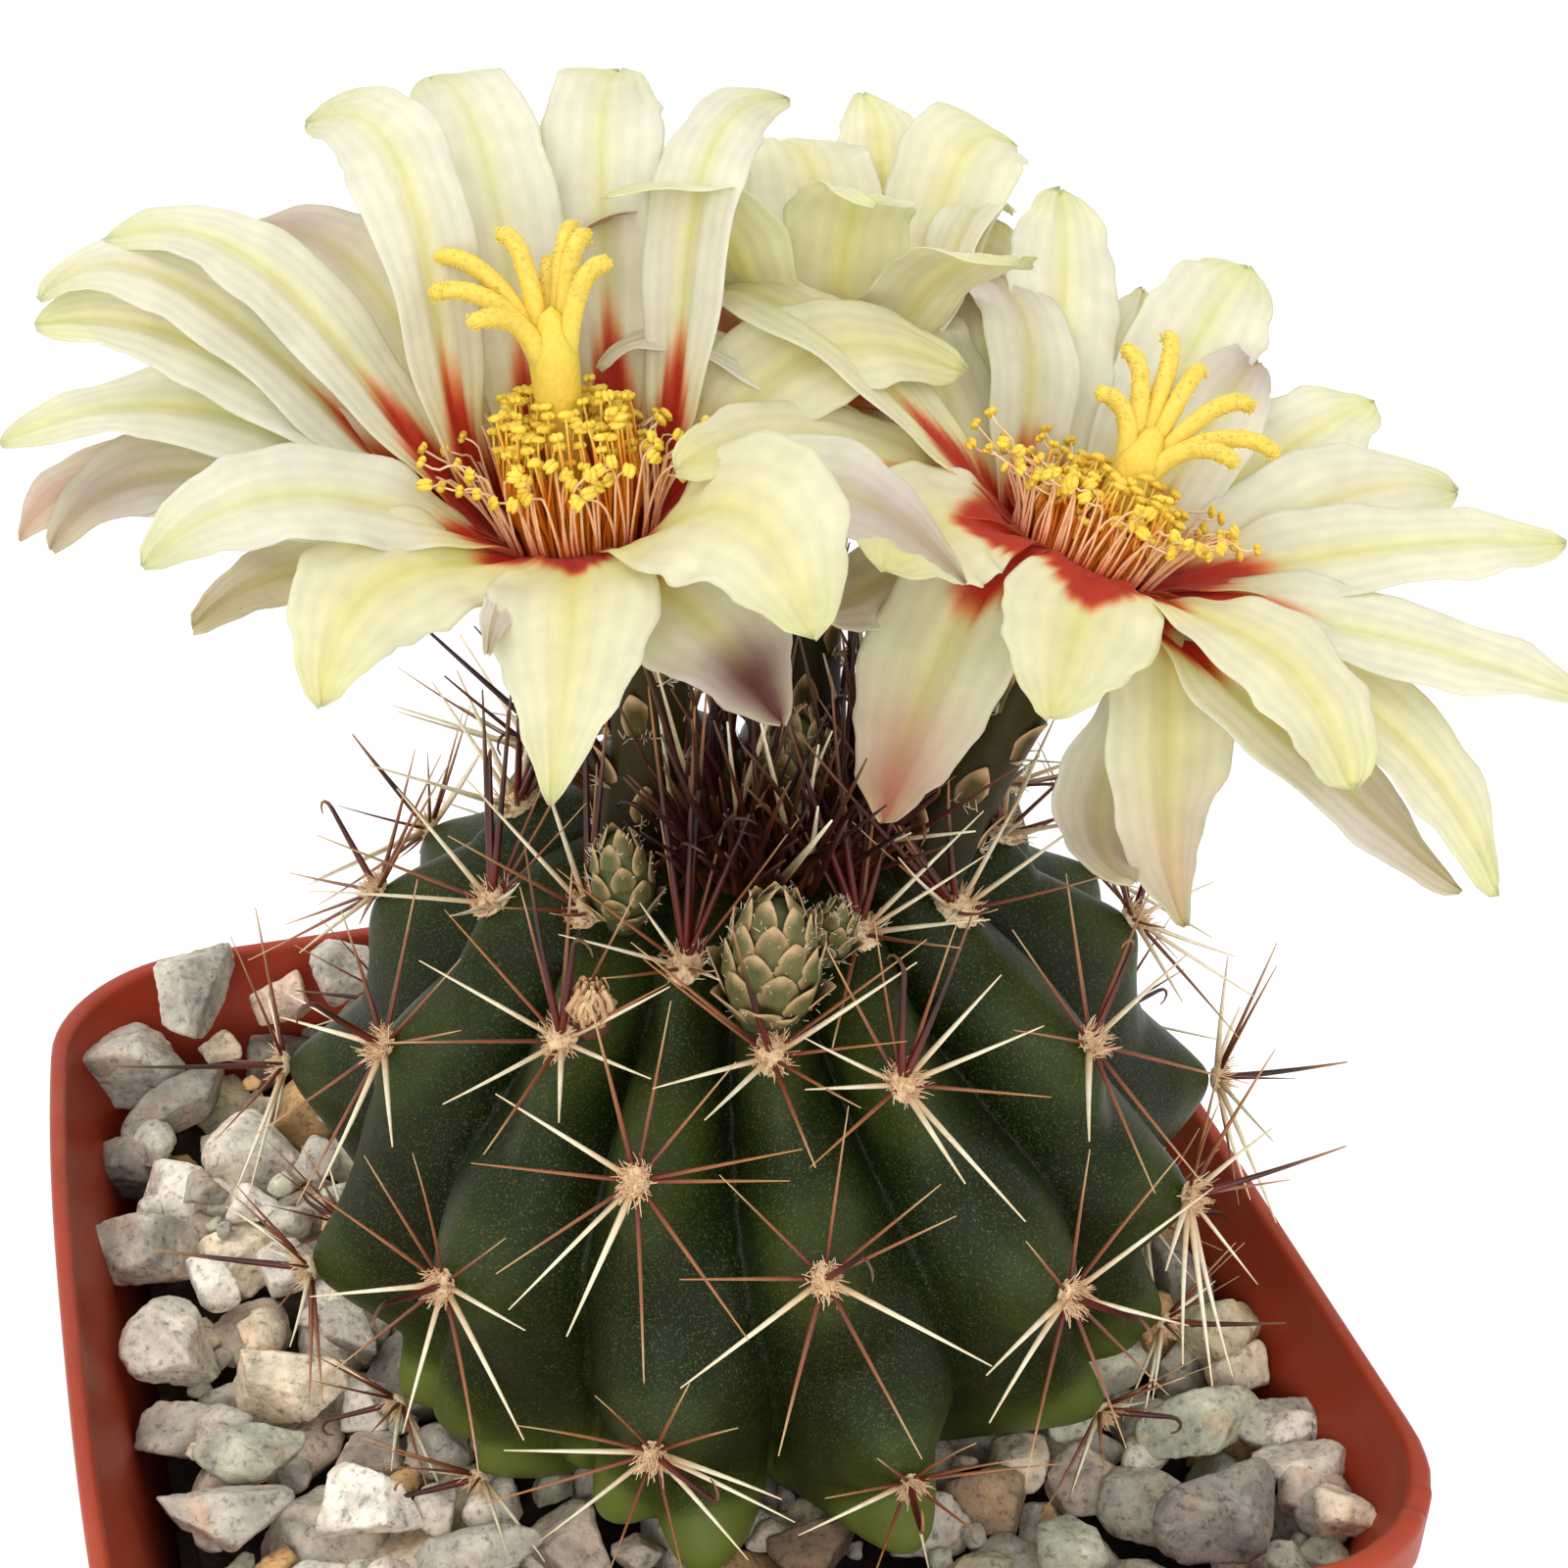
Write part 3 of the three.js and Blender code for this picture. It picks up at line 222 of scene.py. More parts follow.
area("key", (-0.45, 0.25, 1.0), (0, 0, 0.11), 0.7, 3.1, (1.0, 0.985, 0.96))
area("fill", (0.5, -0.75, 0.75), (0, 0, 0.10), 0.8, 1.3, (1.0, 1.0, 0.99))
area("front", (-0.35, -0.8, 0.5), (0, 0, 0.09), 0.7, 2.7, (1.0, 1.0, 1.0))
world = bpy.data.worlds.new("world")
scene.world = world
world.use_nodes = True
world.node_tree.nodes["Background"].inputs[0].default_value = (1.0, 1.0, 0.99, 1)
world.node_tree.nodes["Background"].inputs[1].default_value = 1.01


# ------------------------------------------------------------------ mesh helpers
class Soup:
    """Gathers closed little shapes, with a colour on each vertex, into one mesh."""

    def __init__(self):
        self.v, self.q, self.t, self.c, self.n = [], [], [], [], 0

    def add(self, v, q, t, c):
        v = np.asarray(v, float)
        c = np.asarray(c, float)
        if c.ndim == 1:
            c = np.tile(c, (len(v), 1))
        if c.shape[1] == 3:
            c = np.hstack([c, np.ones((len(c), 1))])
        self.v.append(v)
        self.c.append(c)
        if q is not None and len(q):
            self.q.append(np.asarray(q, int) + self.n)
        if t is not None and len(t):
            self.t.append(np.asarray(t, int) + self.n)
        self.n += len(v)

    def make(self, name, mat, smooth=True):
        v = np.vstack(self.v) * MM
        c = np.vstack(self.c)
        q = np.vstack(self.q) if self.q else np.zeros((0, 4), int)
        t = np.vstack(self.t) if self.t else np.zeros((0, 3), int)
        me = bpy.data.meshes.new(name)
        me.vertices.add(len(v))
        me.vertices.foreach_set("co", v.astype(np.float32).ravel())
        loops = np.concatenate([q.ravel(), t.ravel()])
        me.loops.add(len(loops))
        me.loops.foreach_set("vertex_index", loops.astype(np.int32))
        starts = np.concatenate([np.arange(len(q)) * 4, len(q) * 4 + np.arange(len(t)) * 3])
        totals = np.concatenate([np.full(len(q), 4), np.full(len(t), 3)])
        me.polygons.add(len(starts))
        me.polygons.foreach_set("loop_start", starts.astype(np.int32))
        me.polygons.foreach_set("loop_total", totals.astype(np.int32))
        me.polygons.foreach_set("use_smooth", np.full(len(starts), smooth))
        me.update(calc_edges=True)
        me.validate()
        a = me.color_attributes.new("Col", "FLOAT_COLOR", "POINT")
        a.data.foreach_set("color", c.astype(np.float32).ravel())
        o = bpy.data.objects.new(name, me)
        scene.collection.objects.link(o)
        me.materials.append(mat)
        return o


def lin(*rgb):
    c = A(rgb, float) / 255.0
    return np.where(c <= 0.04045, c / 12.92, ((c + 0.055) / 1.055) ** 2.4)


def unit(v):
    v = np.asarray(v, float)
    n = np.linalg.norm(v, axis=-1, keepdims=True)
    return v / np.maximum(n, 1e-9)


def mixc(a, b, t):
    t = np.asarray(t, float)[..., None]
    return a * (1 - t) + b * t


def smooth01(x):
    x = np.clip(x, 0, 1)
    return x * x * (3 - 2 * x)


def grid_quads(nu, nv, wrap=False):
    """Quads of a grid of nu rows and nv columns."""
    i = np.arange(nu - 1)[:, None] * nv
    j = np.arange(nv if wrap else nv - 1)[None, :]
    k = (j + 1) % nv
    return np.stack([i + j, i + k, i + nv + k, i + nv + j], -1).reshape(-1, 4)


def frames_along(p):
    """Tangent, side and normal along a path, turning as little as possible."""
    t = unit(np.gradient(p, axis=0))
    ref = A([0, 0, 1.0]) if abs(t[0][2]) < 0.9 else A([1.0, 0, 0])
    s = unit(np.cross(ref, t[0]))
    ss = []
    for k in range(len(p)):
        s = s - t[k] * s.dot(t[k])
        s = s / max(np.linalg.norm(s), 1e-9)
        ss.append(s.copy())
    ss = A(ss)
    return t, ss, np.cross(t, ss)


def tube(soup, p, r, sides, colour, flat=1.0):
    """A closed tapered tube along the points p. flat squeezes its section."""
    p = np.asarray(p, float)
    k = len(p)
    t, s, n = frames_along(p)
    a = np.arange(sides) * 2 * math.pi / sides
    r = np.broadcast_to(np.asarray(r, float), (k,))
    ring = p[:, None, :] + r[:, None, None] * (np.cos(a)[None, :, None] * s[:, None, :] + flat * np.sin(a)[None, :, None] * n[:, None, :])
    v = np.vstack([ring.reshape(-1, 3), p[0] - t[0] * r[0] * 0.4, p[-1] + t[-1] * r[-1] * 0.8])
    q = grid_quads(k, sides, True)
    b, e = k * sides, k * sides + 1
    j = np.arange(sides)
    jn = (j + 1) % sides
    tri = np.vstack([np.stack([np.full(sides, b), jn, j], -1), np.stack([np.full(sides, e), (k - 1) * sides + j, (k - 1) * sides + jn], -1)])
    colour = np.asarray(colour, float)
    if colour.ndim == 1:
        c = colour
    else:
        c = np.vstack([np.repeat(colour, sides, 0), colour[:1], colour[-1:]])
    soup.add(v, q, tri, c)


def ico(level):
    phi = (1 + 5 ** 0.5) / 2
    v = [(-1, phi, 0), (1, phi, 0), (-1, -phi, 0), (1, -phi, 0), (0, -1, phi), (0, 1, phi), (0, -1, -phi), (0, 1, -phi), (phi, 0, -1), (phi, 0, 1), (-phi, 0, -1), (-phi, 0, 1)]
    f = [(0, 11, 5), (0, 5, 1), (0, 1, 7), (0, 7, 10), (0, 10, 11), (1, 5, 9), (5, 11, 4), (11, 10, 2), (10, 7, 6), (7, 1, 8), (3, 9, 4), (3, 4, 2), (3, 2, 6), (3, 6, 8), (3, 8, 9), (4, 9, 5), (2, 4, 11), (6, 2, 10), (8, 6, 7), (9, 8, 1)]
    v = [list(unit(A(x))) for x in v]
    for _ in range(level):
        cache, nf = {}, []

        def mid(a, b):
            k = (min(a, b), max(a, b))
            if k not in cache:
                v.append(list(unit((A(v[a]) + A(v[b])) / 2)))
                cache[k] = len(v) - 1
            return cache[k]

        for a, b, c in f:
            x, y, z = mid(a, b), mid(b, c), mid(c, a)
            nf += [(a, x, z), (b, y, x), (c, z, y), (x, y, z)]
        f = nf
    return A(v), A(f)


ICO = {k: ico(k) for k in range(5)}


def blob(soup, centre, axes, colour, level=1, wob=0.0, rng=None):
    """An ellipsoid; axes is a 3x3 matrix whose rows are its half axes."""
    v, f = ICO[level]
    s = np.ones(len(v))
    if wob and rng is not None:
        s = 1 + wob * (rng.random(len(v)) * 2 - 1)
    soup.add(centre + (v * s[:, None]) @ A(axes, float), None, f, colour)


def sine_noise(p, rng, scale, octaves=4, n=5):
    """Smooth repeatable noise from sums of sines."""
    out = np.zeros(len(p))
    amp = 1.0
    for o in range(octaves):
        for _ in range(n):
            d = unit(rng.normal(size=3)) / scale * (1.9 ** o)
            out += amp / n * np.sin(p @ d * 2 * math.pi + rng.random() * 6.28)
        amp *= 0.5
    return out


# ------------------------------------------------------------------ material helpers
def material(name, rough=0.6, base=None, use_col=False, **sockets):
    mt = bpy.data.materials.new(name)
    mt.use_nodes = True
    nt = mt.node_tree
    b = nt.nodes["Principled BSDF"]
    b.inputs["Roughness"].default_value = rough
    if base is not None:
        b.inputs["Base Color"].default_value = (*base, 1)
    for k, v in sockets.items():
        b.inputs[k.replace("_", " ")].default_value = v
    return mt, nt, b


def node(nt, kind, **kw):
    n = nt.nodes.new(kind)
    for k, v in kw.items():
        if k.startswith("i_"):
            n.inputs[k[2:].replace("_", " ")].default_value = v
        else:
            setattr(n, k, v)
    return n


def ramp(nt, fac, stops):
    r = nt.nodes.new("ShaderNodeValToRGB")
    e = r.color_ramp.elements
    while len(e) < len(stops):
        e.new(0.5)
    for el, (p, c) in zip(e, stops):
        el.position = p
        el.color = (*c, 1) if len(c) == 3 else c
    nt.links.new(fac, r.inputs["Fac"])
    return r.outputs["Color"]


def mixrgb(nt, kind, fac, a, b):
    n = nt.nodes.new("ShaderNodeMix")
    n.data_type = "RGBA"
    n.blend_type = kind
    for s, x in ((n.inputs["Factor"], fac), (n.inputs[6], a), (n.inputs[7], b)):
        if isinstance(x, (int, float)):
            s.default_value = x
        elif isinstance(x, (tuple, list)):
            s.default_value = (*x, 1) if len(x) == 3 else x
        else:
            nt.links.new(x, s)
    return n.outputs[2]


def noise_tex(nt, scale, detail=4, rough=0.55, vec=None, kind="ShaderNodeTexNoise"):
    n = nt.nodes.new(kind)
    n.inputs["Scale"].default_value = scale
    if kind == "ShaderNodeTexNoise":
        n.inputs["Detail"].default_value = detail
        n.inputs["Roughness"].default_value = rough
    if vec is not None:
        nt.links.new(vec, n.inputs["Vector"])
    return n


def bump(nt, bsdf, height, strength, distance, chain=None):
    b = nt.nodes.new("ShaderNodeBump")
    b.inputs["Strength"].default_value = strength
    b.inputs["Distance"].default_value = distance
    nt.links.new(height, b.inputs["Height"])
    if chain is not None:
        nt.links.new(chain, b.inputs["Normal"])
    if bsdf is not None:
        nt.links.new(b.outputs["Normal"], bsdf.inputs["Normal"])
    return b.outputs["Normal"]


def coords(nt):
    return nt.nodes.new("ShaderNodeTexCoord").outputs["Object"]


def col(nt):
    n = nt.nodes.new("ShaderNodeAttribute")
    n.attribute_name = "Col"
    return n


# pot plastic
m_pot, nt, b = material("pot_plastic", 0.42)
co = coords(nt)
n1 = noise_tex(nt, 30, 5, 0.6, co)
n2 = noise_tex(nt, 700, 3, 0.6, co)
base = ramp(nt, n1.outputs["Fac"], [(0.25, lin(144, 48, 25)), (0.55, lin(160, 57, 32)), (0.8, lin(174, 69, 41))])
dust = noise_tex(nt, 90, 6, 0.7, co)
base = mixrgb(nt, "MIX", ramp(nt, dust.outputs["Fac"], [(0.52, (0, 0, 0)), (0.78, (0.20, 0.20, 0.20))]), base, tuple(lin(190, 126, 98)))
nt.links.new(base, b.inputs["Base Color"])
bump(nt, b, n2.outputs["Fac"], 0.12, 0.0003)
rr = ramp(nt, n1.outputs["Fac"], [(0.3, (0.40,) * 3), (0.75, (0.56,) * 3)])
b.inputs["Specular IOR Level"].default_value = 0.32
nt.links.new(rr, b.inputs["Roughness"])

# stem skin: dark green with a fine pale speckle, paler towards the chins (given by the vertex colour)
m_stem, nt, b = material("stem_skin", 0.42)
co = coords(nt)
c = col(nt)
sp = noise_tex(nt, 6500, 2, 0.5, co)
sp2 = noise_tex(nt, 2300, 3, 0.6, co)
blot = noise_tex(nt, 120, 5, 0.6, co)
base = mixrgb(nt, "MULTIPLY", 1.0, c.outputs["Color"], ramp(nt, blot.outputs["Fac"], [(0.3, (0.80, 0.80, 0.80)), (0.7, (1.15, 1.15, 1.12))]))
base = mixrgb(nt, "MIX", ramp(nt, sp.outputs["Fac"], [(0.57, (0, 0, 0)), (0.67, (0.40, 0.40, 0.40))]), base, tuple(lin(104, 112, 52)))
base = mixrgb(nt, "MIX", ramp(nt, sp2.outputs["Fac"], [(0.62, (0, 0, 0)), (0.72, (0.20, 0.20, 0.20))]), base, tuple(lin(122, 126, 72)))
nt.links.new(base, b.inputs["Base Color"])
nn = bump(nt, None, sp.outputs["Fac"], 0.25, 0.0001)
nn = bump(nt, b, sp2.outputs["Fac"], 0.30, 0.0002, nn)
b.inputs["Specular IOR Level"].default_value = 0.15
b.inputs["Coat Weight"].default_value = 0.0
b.inputs["Coat Roughness"].default_value = 0.35
b.inputs["Subsurface Weight"].default_value = 0.04
b.inputs["Subsurface Radius"].default_value = (0.4, 1.0, 0.3)
b.inputs["Subsurface Scale"].default_value = 0.002

# petals
m_petal, nt, b = material("petal_silk", 0.52)
c = col(nt)
co = coords(nt)
f1 = noise_tex(nt, 420, 4, 0.6, co)
f2 = noise_tex(nt, 2200, 2, 0.5, co)
base = mixrgb(nt, "MULTIPLY", 1.0, c.outputs["Color"], ramp(nt, f1.outputs["Fac"], [(0.3, (0.93, 0.93, 0.91)), (0.7, (1.03, 1.03, 1.02))]))
nt.links.new(base, b.inputs["Base Color"])
nn = bump(nt, None, f2.outputs["Fac"], 0.25, 0.00008)
nn = bump(nt, b, f1.outputs["Fac"], 0.25, 0.0002, nn)
b.inputs["Sheen Weight"].default_value = 0.12
tr = node(nt, "ShaderNodeBsdfTranslucent")
trc = mixrgb(nt, "MULTIPLY", 1.0, base, (1.0, 1.0, 0.92))
nt.links.new(trc, tr.inputs["Color"])
nt.links.new(nn, tr.inputs["Normal"])
mx = node(nt, "ShaderNodeMixShader")
mx.inputs[0].default_value = 0.45
nt.links.new(b.outputs[0], mx.inputs[1])
nt.links.new(tr.outputs[0], mx.inputs[2])
nt.links.new(mx.outputs[0], nt.nodes["Material Output"].inputs[0])


def plain(name, rough, scale, lo, hi, bump_s=0.3, bump_d=0.0002, sss=0.0, detail=4):
    mt, nt, b = material(name, rough)
    c = col(nt)
    n = noise_tex(nt, scale, detail, 0.6, coords(nt))
    base = mixrgb(nt, "MULTIPLY", 1.0, c.outputs["Color"], ramp(nt, n.outputs["Fac"], [(0.3, (lo,) * 3), (0.7, (hi,) * 3)]))
    nt.links.new(base, b.inputs["Base Color"])
    bump(nt, b, n.outputs["Fac"], bump_s, bump_d)
    if sss:
        b.inputs["Subsurface Weight"].default_value = sss
        b.inputs["Subsurface Radius"].default_value = (1.0, 0.7, 0.3)
        b.inputs["Subsurface Scale"].default_value = 0.001
    return mt


m_stamen = plain("stamen_tissue", 0.5, 1800, 0.85, 1.1, sss=0.15)
m_stigma = plain("stigma_tissue", 0.55, 2600, 0.88, 1.08, 0.5, 0.00015, sss=0.25)
m_tube = plain("tube_skin", 0.55, 900, 0.82, 1.12, 0.3, 0.00015)
m_tube.node_tree.nodes["Principled BSDF"].inputs["Specular IOR Level"].default_value = 0.2
m_bud = plain("bud_scales", 0.6, 1200, 0.82, 1.12, 0.4, 0.00015)
m_dry = plain("dry_tissue", 0.85, 1500, 0.7, 1.15, 0.6, 0.0003)
m_spine = plain("spine_horn", 0.42, 1500, 0.85, 1.1, 0.2, 0.0001)
m_felt = plain("areole_felt", 0.9, 2500, 0.8, 1.15, 0.5, 0.0002)

# stone
m_stone, nt, b = material("gravel_stone", 0.86)
c = col(nt)
co = coords(nt)
g1 = noise_tex(nt, 260, 8, 0.68, co)
g2 = noise_tex(nt, 1400, 4, 0.7, co)
g3 = noise_tex(nt, 600, 3, 0.5, co, "ShaderNodeTexVoronoi")
base = mixrgb(nt, "MULTIPLY", 1.0, c.outputs["Color"], ramp(nt, g1.outputs["Fac"], [(0.28, (0.52, 0.51, 0.51)), (0.48, (1.0, 0.99, 0.97)), (0.70, (1.50, 1.47, 1.40))]))
base = mixrgb(nt, "MULTIPLY", 1.0, base, ramp(nt, g2.outputs["Fac"], [(0.34, (0.50, 0.49, 0.49)), (0.45, (1.0, 1.0, 1.0)), (0.68, (1.22, 1.21, 1.18))]))
nt.links.new(base, b.inputs["Base Color"])
nn = bump(nt, None, g1.outputs["Fac"], 0.7, 0.0006)
nn = bump(nt, b, g2.outputs["Fac"], 0.6, 0.0003, nn)

# soil
m_soil, nt, b = material("potting_mix", 0.95)
co = coords(nt)
g1 = noise_tex(nt, 500, 8, 0.7, co)
base = ramp(nt, g1.outputs["Fac"], [(0.3, lin(22, 16, 12)), (0.55, lin(52, 38, 28)), (0.75, lin(90, 70, 52))])
nt.links.new(base, b.inputs["Base Color"])
bump(nt, b, g1.outputs["Fac"], 1.0, 0.0012)

# floor
m_floor, nt, b = material("floor", 0.8, (0.95, 0.95, 0.95))

# ------------------------------------------------------------------ floor
bpy.ops.mesh.primitive_plane_add(size=9, location=(0, 0, -0.0002))
floor = bpy.context.object
floor.name = "floor"
floor.data.materials.append(m_floor)


# ------------------------------------------------------------------ pot
def support(ang, half, corner):
    c, s = np.abs(np.cos(ang)), np.abs(np.sin(ang))
    k = half - corner
    t = np.where(c >= s, half / np.maximum(c, 1e-9), half / np.maximum(s, 1e-9))
    on_flat = np.where(c >= s, s * t <= k, c * t <= k)
    b = k * (c + s)
    q = 2 * k * k - corner * corner
    arc = b + np.sqrt(np.maximum(0, b * b - q))
    return np.where(on_flat, t, arc)


def ring_points(half, z, corner, n=224, bow=0.0):
    # more points round the corners
    base = []
    for k in range(4):
        a0 = -math.pi / 4 + k * math.pi / 2
        u = np.linspace(-1, 1, n // 4, endpoint=False)
        w = np.sign(u) * (1 - (1 - np.abs(u)) ** 1.35)
        base.append(a0 + math.pi / 4 + w * math.pi / 4)
    ang = np.concatenate(base)
    r = support(ang, half, corner)
    x, y = r * np.cos(ang), r * np.sin(ang)
    if bow:
        x = np.where(x < 0, x - bow * np.maximum(0, 1 - (np.abs(y) / half) ** 2.6) * smooth01((-x / half - 0.2) / 0.8), x)
    return np.stack([x, y, np.full_like(x, z)], -1)


wall_at = lambda z: POT_FOOT / 2 + (POT_RIM / 2 - BAND_T - POT_FOOT / 2) * (z / POT_H)


def build_pot():
    R = POT_RIM / 2
    T = POT_H
    prof = []  # half width, height
    prof += [(0.4, 0.0), (10, 0.0), (POT_FOOT / 2 - 3.0, 0.0), (POT_FOOT / 2 - 1.3, 0.0), (POT_FOOT / 2 - 0.6, 0.25), (POT_FOOT / 2 - 0.15, 0.8), (wall_at(1.8), 1.8)]
    for z in np.linspace(4, T - BAND_H - 0.6, 18):
        prof.append((wall_at(z), z))
    zb = T - BAND_H
    prof += [(wall_at(zb) + 0.05, zb - 0.15), (R - 0.55, zb), (R - 0.2, zb + 0.12), (R - 0.03, zb + 0.45)]
    for z in np.linspace(zb + 1, T - 1.2, 5):
        prof.append((R, z))
    prof += [(R, T - 0.8), (R - 0.08, T - 0.35), (R - 0.28, T - 0.08), (R - 0.55, T), (R - 0.95, T), (R - 1.2, T - 0.1), (R - 1.36, T - 0.35), (R - 1.42, T - 0.8)]
    for z in np.linspace(T - 1.6, T - 8.0, 7):
        k = float(smooth01((T - z) / 8.0))
        prof.append(((R - 1.45) * (1 - k) + (wall_at(z) - WALL) * k, z))
    for z in np.linspace(T - 10, FLOOR_T + 1.5, 20):
        prof.append((wall_at(z) - WALL, z))
    prof += [(wall_at(FLOOR_T) - WALL - 0.6, FLOOR_T + 0.3), (wall_at(FLOOR_T) - WALL - 1.4, FLOOR_T), (10, FLOOR_T), (0.4, FLOOR_T)]
    rings = []
    for h, z in prof:
        cr = CORNER_R * (h / R)
        rings.append(ring_points(h, z, cr, bow=BOW * smooth01(z / T)))
    n = len(rings[0])
    v = np.vstack(rings)
    # a soft dent in the lip near the front corner
    d = np.exp(-(((v[:, 0] - 43) / 3.2) ** 2 + ((v[:, 1] + 41) / 3.0) ** 2)) * smooth01((v[:, 2] - 70) / 8)
    v[:, 2] -= 0.5 * d * np.sin((v[:, 0] + v[:, 1]) * 1.6)
    q = grid_quads(len(rings), n, True)
    # close the two little centre rings
    k = len(v)
    v = np.vstack([v, [0, 0, 0.0], [0, 0, FLOOR_T]])
    j = np.arange(n)
    jn = (j + 1) % n
    last = (len(rings) - 1) * n
    t = np.vstack([np.stack([np.full(n, k), jn, j], -1), np.stack([np.full(n, k + 1), last + j, last + jn], -1)])
    s = Soup()
    s.add(v, q, t, lin(172, 68, 44))
    o = s.make("pot_shell", m_pot)
    # drain holes
    for sx in (-1, 1):
        for sy in (-1, 1):
            bpy.ops.mesh.primitive_cylinder_add(vertices=40, radius=3.2 * MM, depth=8 * MM, location=(sx * 19 * MM, sy * 19 * MM, 1 * MM))
            cut = bpy.context.object
            md = o.modifiers.new("drain", "BOOLEAN")
            md.operation = "DIFFERENCE"
            md.solver = "EXACT"
            md.object = cut
            bpy.context.view_layer.objects.active = o
            bpy.ops.object.modifier_apply(modifier="drain")
            bpy.data.objects.remove(cut)
    return o


pot = build_pot()
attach(pot, "root")
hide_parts("square_pot")

# ------------------------------------------------------------------ stem
RIB_N = len(RIBS)


def rib_az(z):
    """Azimuth of every rib at height z (array) -> (len(z), ribs)"""
    z = np.atleast_1d(np.asarray(z, float))
    out = np.zeros((len(z), RIB_N))
    for i, a in enumerate(RIBS):
        zz = A([p[1] for p in a][::-1])
        aa = A([p[0] for p in a][::-1])
        out[:, i] = np.interp(z, zz, aa)
    return out


def crest(z):
    t = np.where(z >= SZ, (z - SZ) / SUP, (SZ - z) / SDN)
    return SR * np.sqrt(np.maximum(0, 1 - t * t))


def dang(a, b):
    return (a - b + 180.0) % 360.0 - 180.0


def stem_radius(az, z, want=False):
    """az in degrees and z arrays of one shape."""
    az = np.asarray(az, float)
    z = np.asarray(z, float)
    shp = az.shape
    a, h = az.ravel(), z.ravel()
    R = rib_az(h)
    d = dang(a[:, None], R)
    left = np.where(d >= 0, d, 1e9).min(1)
    right = np.where(d <= 0, -d, 1e9).min(1)
    half = (left + right) / 2
    x = np.minimum(left, right) / np.maximum(half, 1e-6)
    rc = crest(h)
    up = np.clip((h - SZ) / SUP, -1, 1)
    depth = 0.115 + 0.23 * smooth01((h - 97) / 17) + 0.16 * smooth01((84 - h) / 12)
    g = 0.50 * x ** 1.5 + 0.50 * (1 - np.sqrt(np.maximum(0, 1 - 0.985 * x ** 3.4)))
    r = rc * (1 - depth * g) - 0.6 - 1.9 * np.minimum(1, rc / 20)
    # the far shoulders fall away sooner than the near ones
    far = 0.15 * np.clip(np.cos(np.radians(a - 32)), 0, 1) + 0.09 * np.clip(np.cos(np.radians(a - 150)), 0, 1) ** 1.5
    r = r * (1 - far * smooth01((h - 91) / 16) * smooth01((rc - 15) / 10))
    bumpv = np.zeros_like(h)
    for rib in RIBS:
        for (pa, pz) in rib:
            dx = dang(a, pa) * math.pi / 180 * np.maximum(rc, 8)
            dz = (h - pz) * np.where(h < pz, 0.72, 1.15)
            q = dx * dx + dz * dz
            bumpv = np.maximum(bumpv, (3.2 * np.exp(-q / (2 * 4.1 ** 2)) + 1.6 * np.exp(-q / (2 * 2.0 ** 2))) * np.clip((121 - pz) / 9, 0.3, 1))
    for (pa, pz, k) in CHINS:
        dx = dang(a, pa) * math.pi / 180 * np.maximum(rc, 8)
        dz = h - pz
        bumpv = np.maximum(bumpv, (k + 1.3) * np.exp(-(dx * dx + dz * dz) / (2 * 3.1 ** 2)))
    r = r + bumpv * np.minimum(1, rc / 14)
    r = np.maximum(r, 0.3)
    if want:
        return r.reshape(shp), x.reshape(shp), bumpv.reshape(shp)
    return r.reshape(shp)


def stem_point(az, z):
    r = stem_radius(az, z)
    p = np.stack([SX + r * np.cos(np.radians(az)), SY + r * np.sin(np.radians(az)), np.asarray(z, float)], -1)
    p[..., 2] -= np.where(np.asarray(z) > SZ, 2.2 * np.exp(-(r / 7) ** 2), 0)
    return p


def stem_normal(az, z):
    h = min(z, 117.5)
    up = (h - SZ) / (SUP if h >= SZ else SDN)
    side = math.sqrt(max(0.04, 1 - up * up))
    return unit(A([side * math.cos(math.radians(az)) / SR, side * math.sin(math.radians(az)) / SR, up / (SUP if up > 0 else SDN)]))


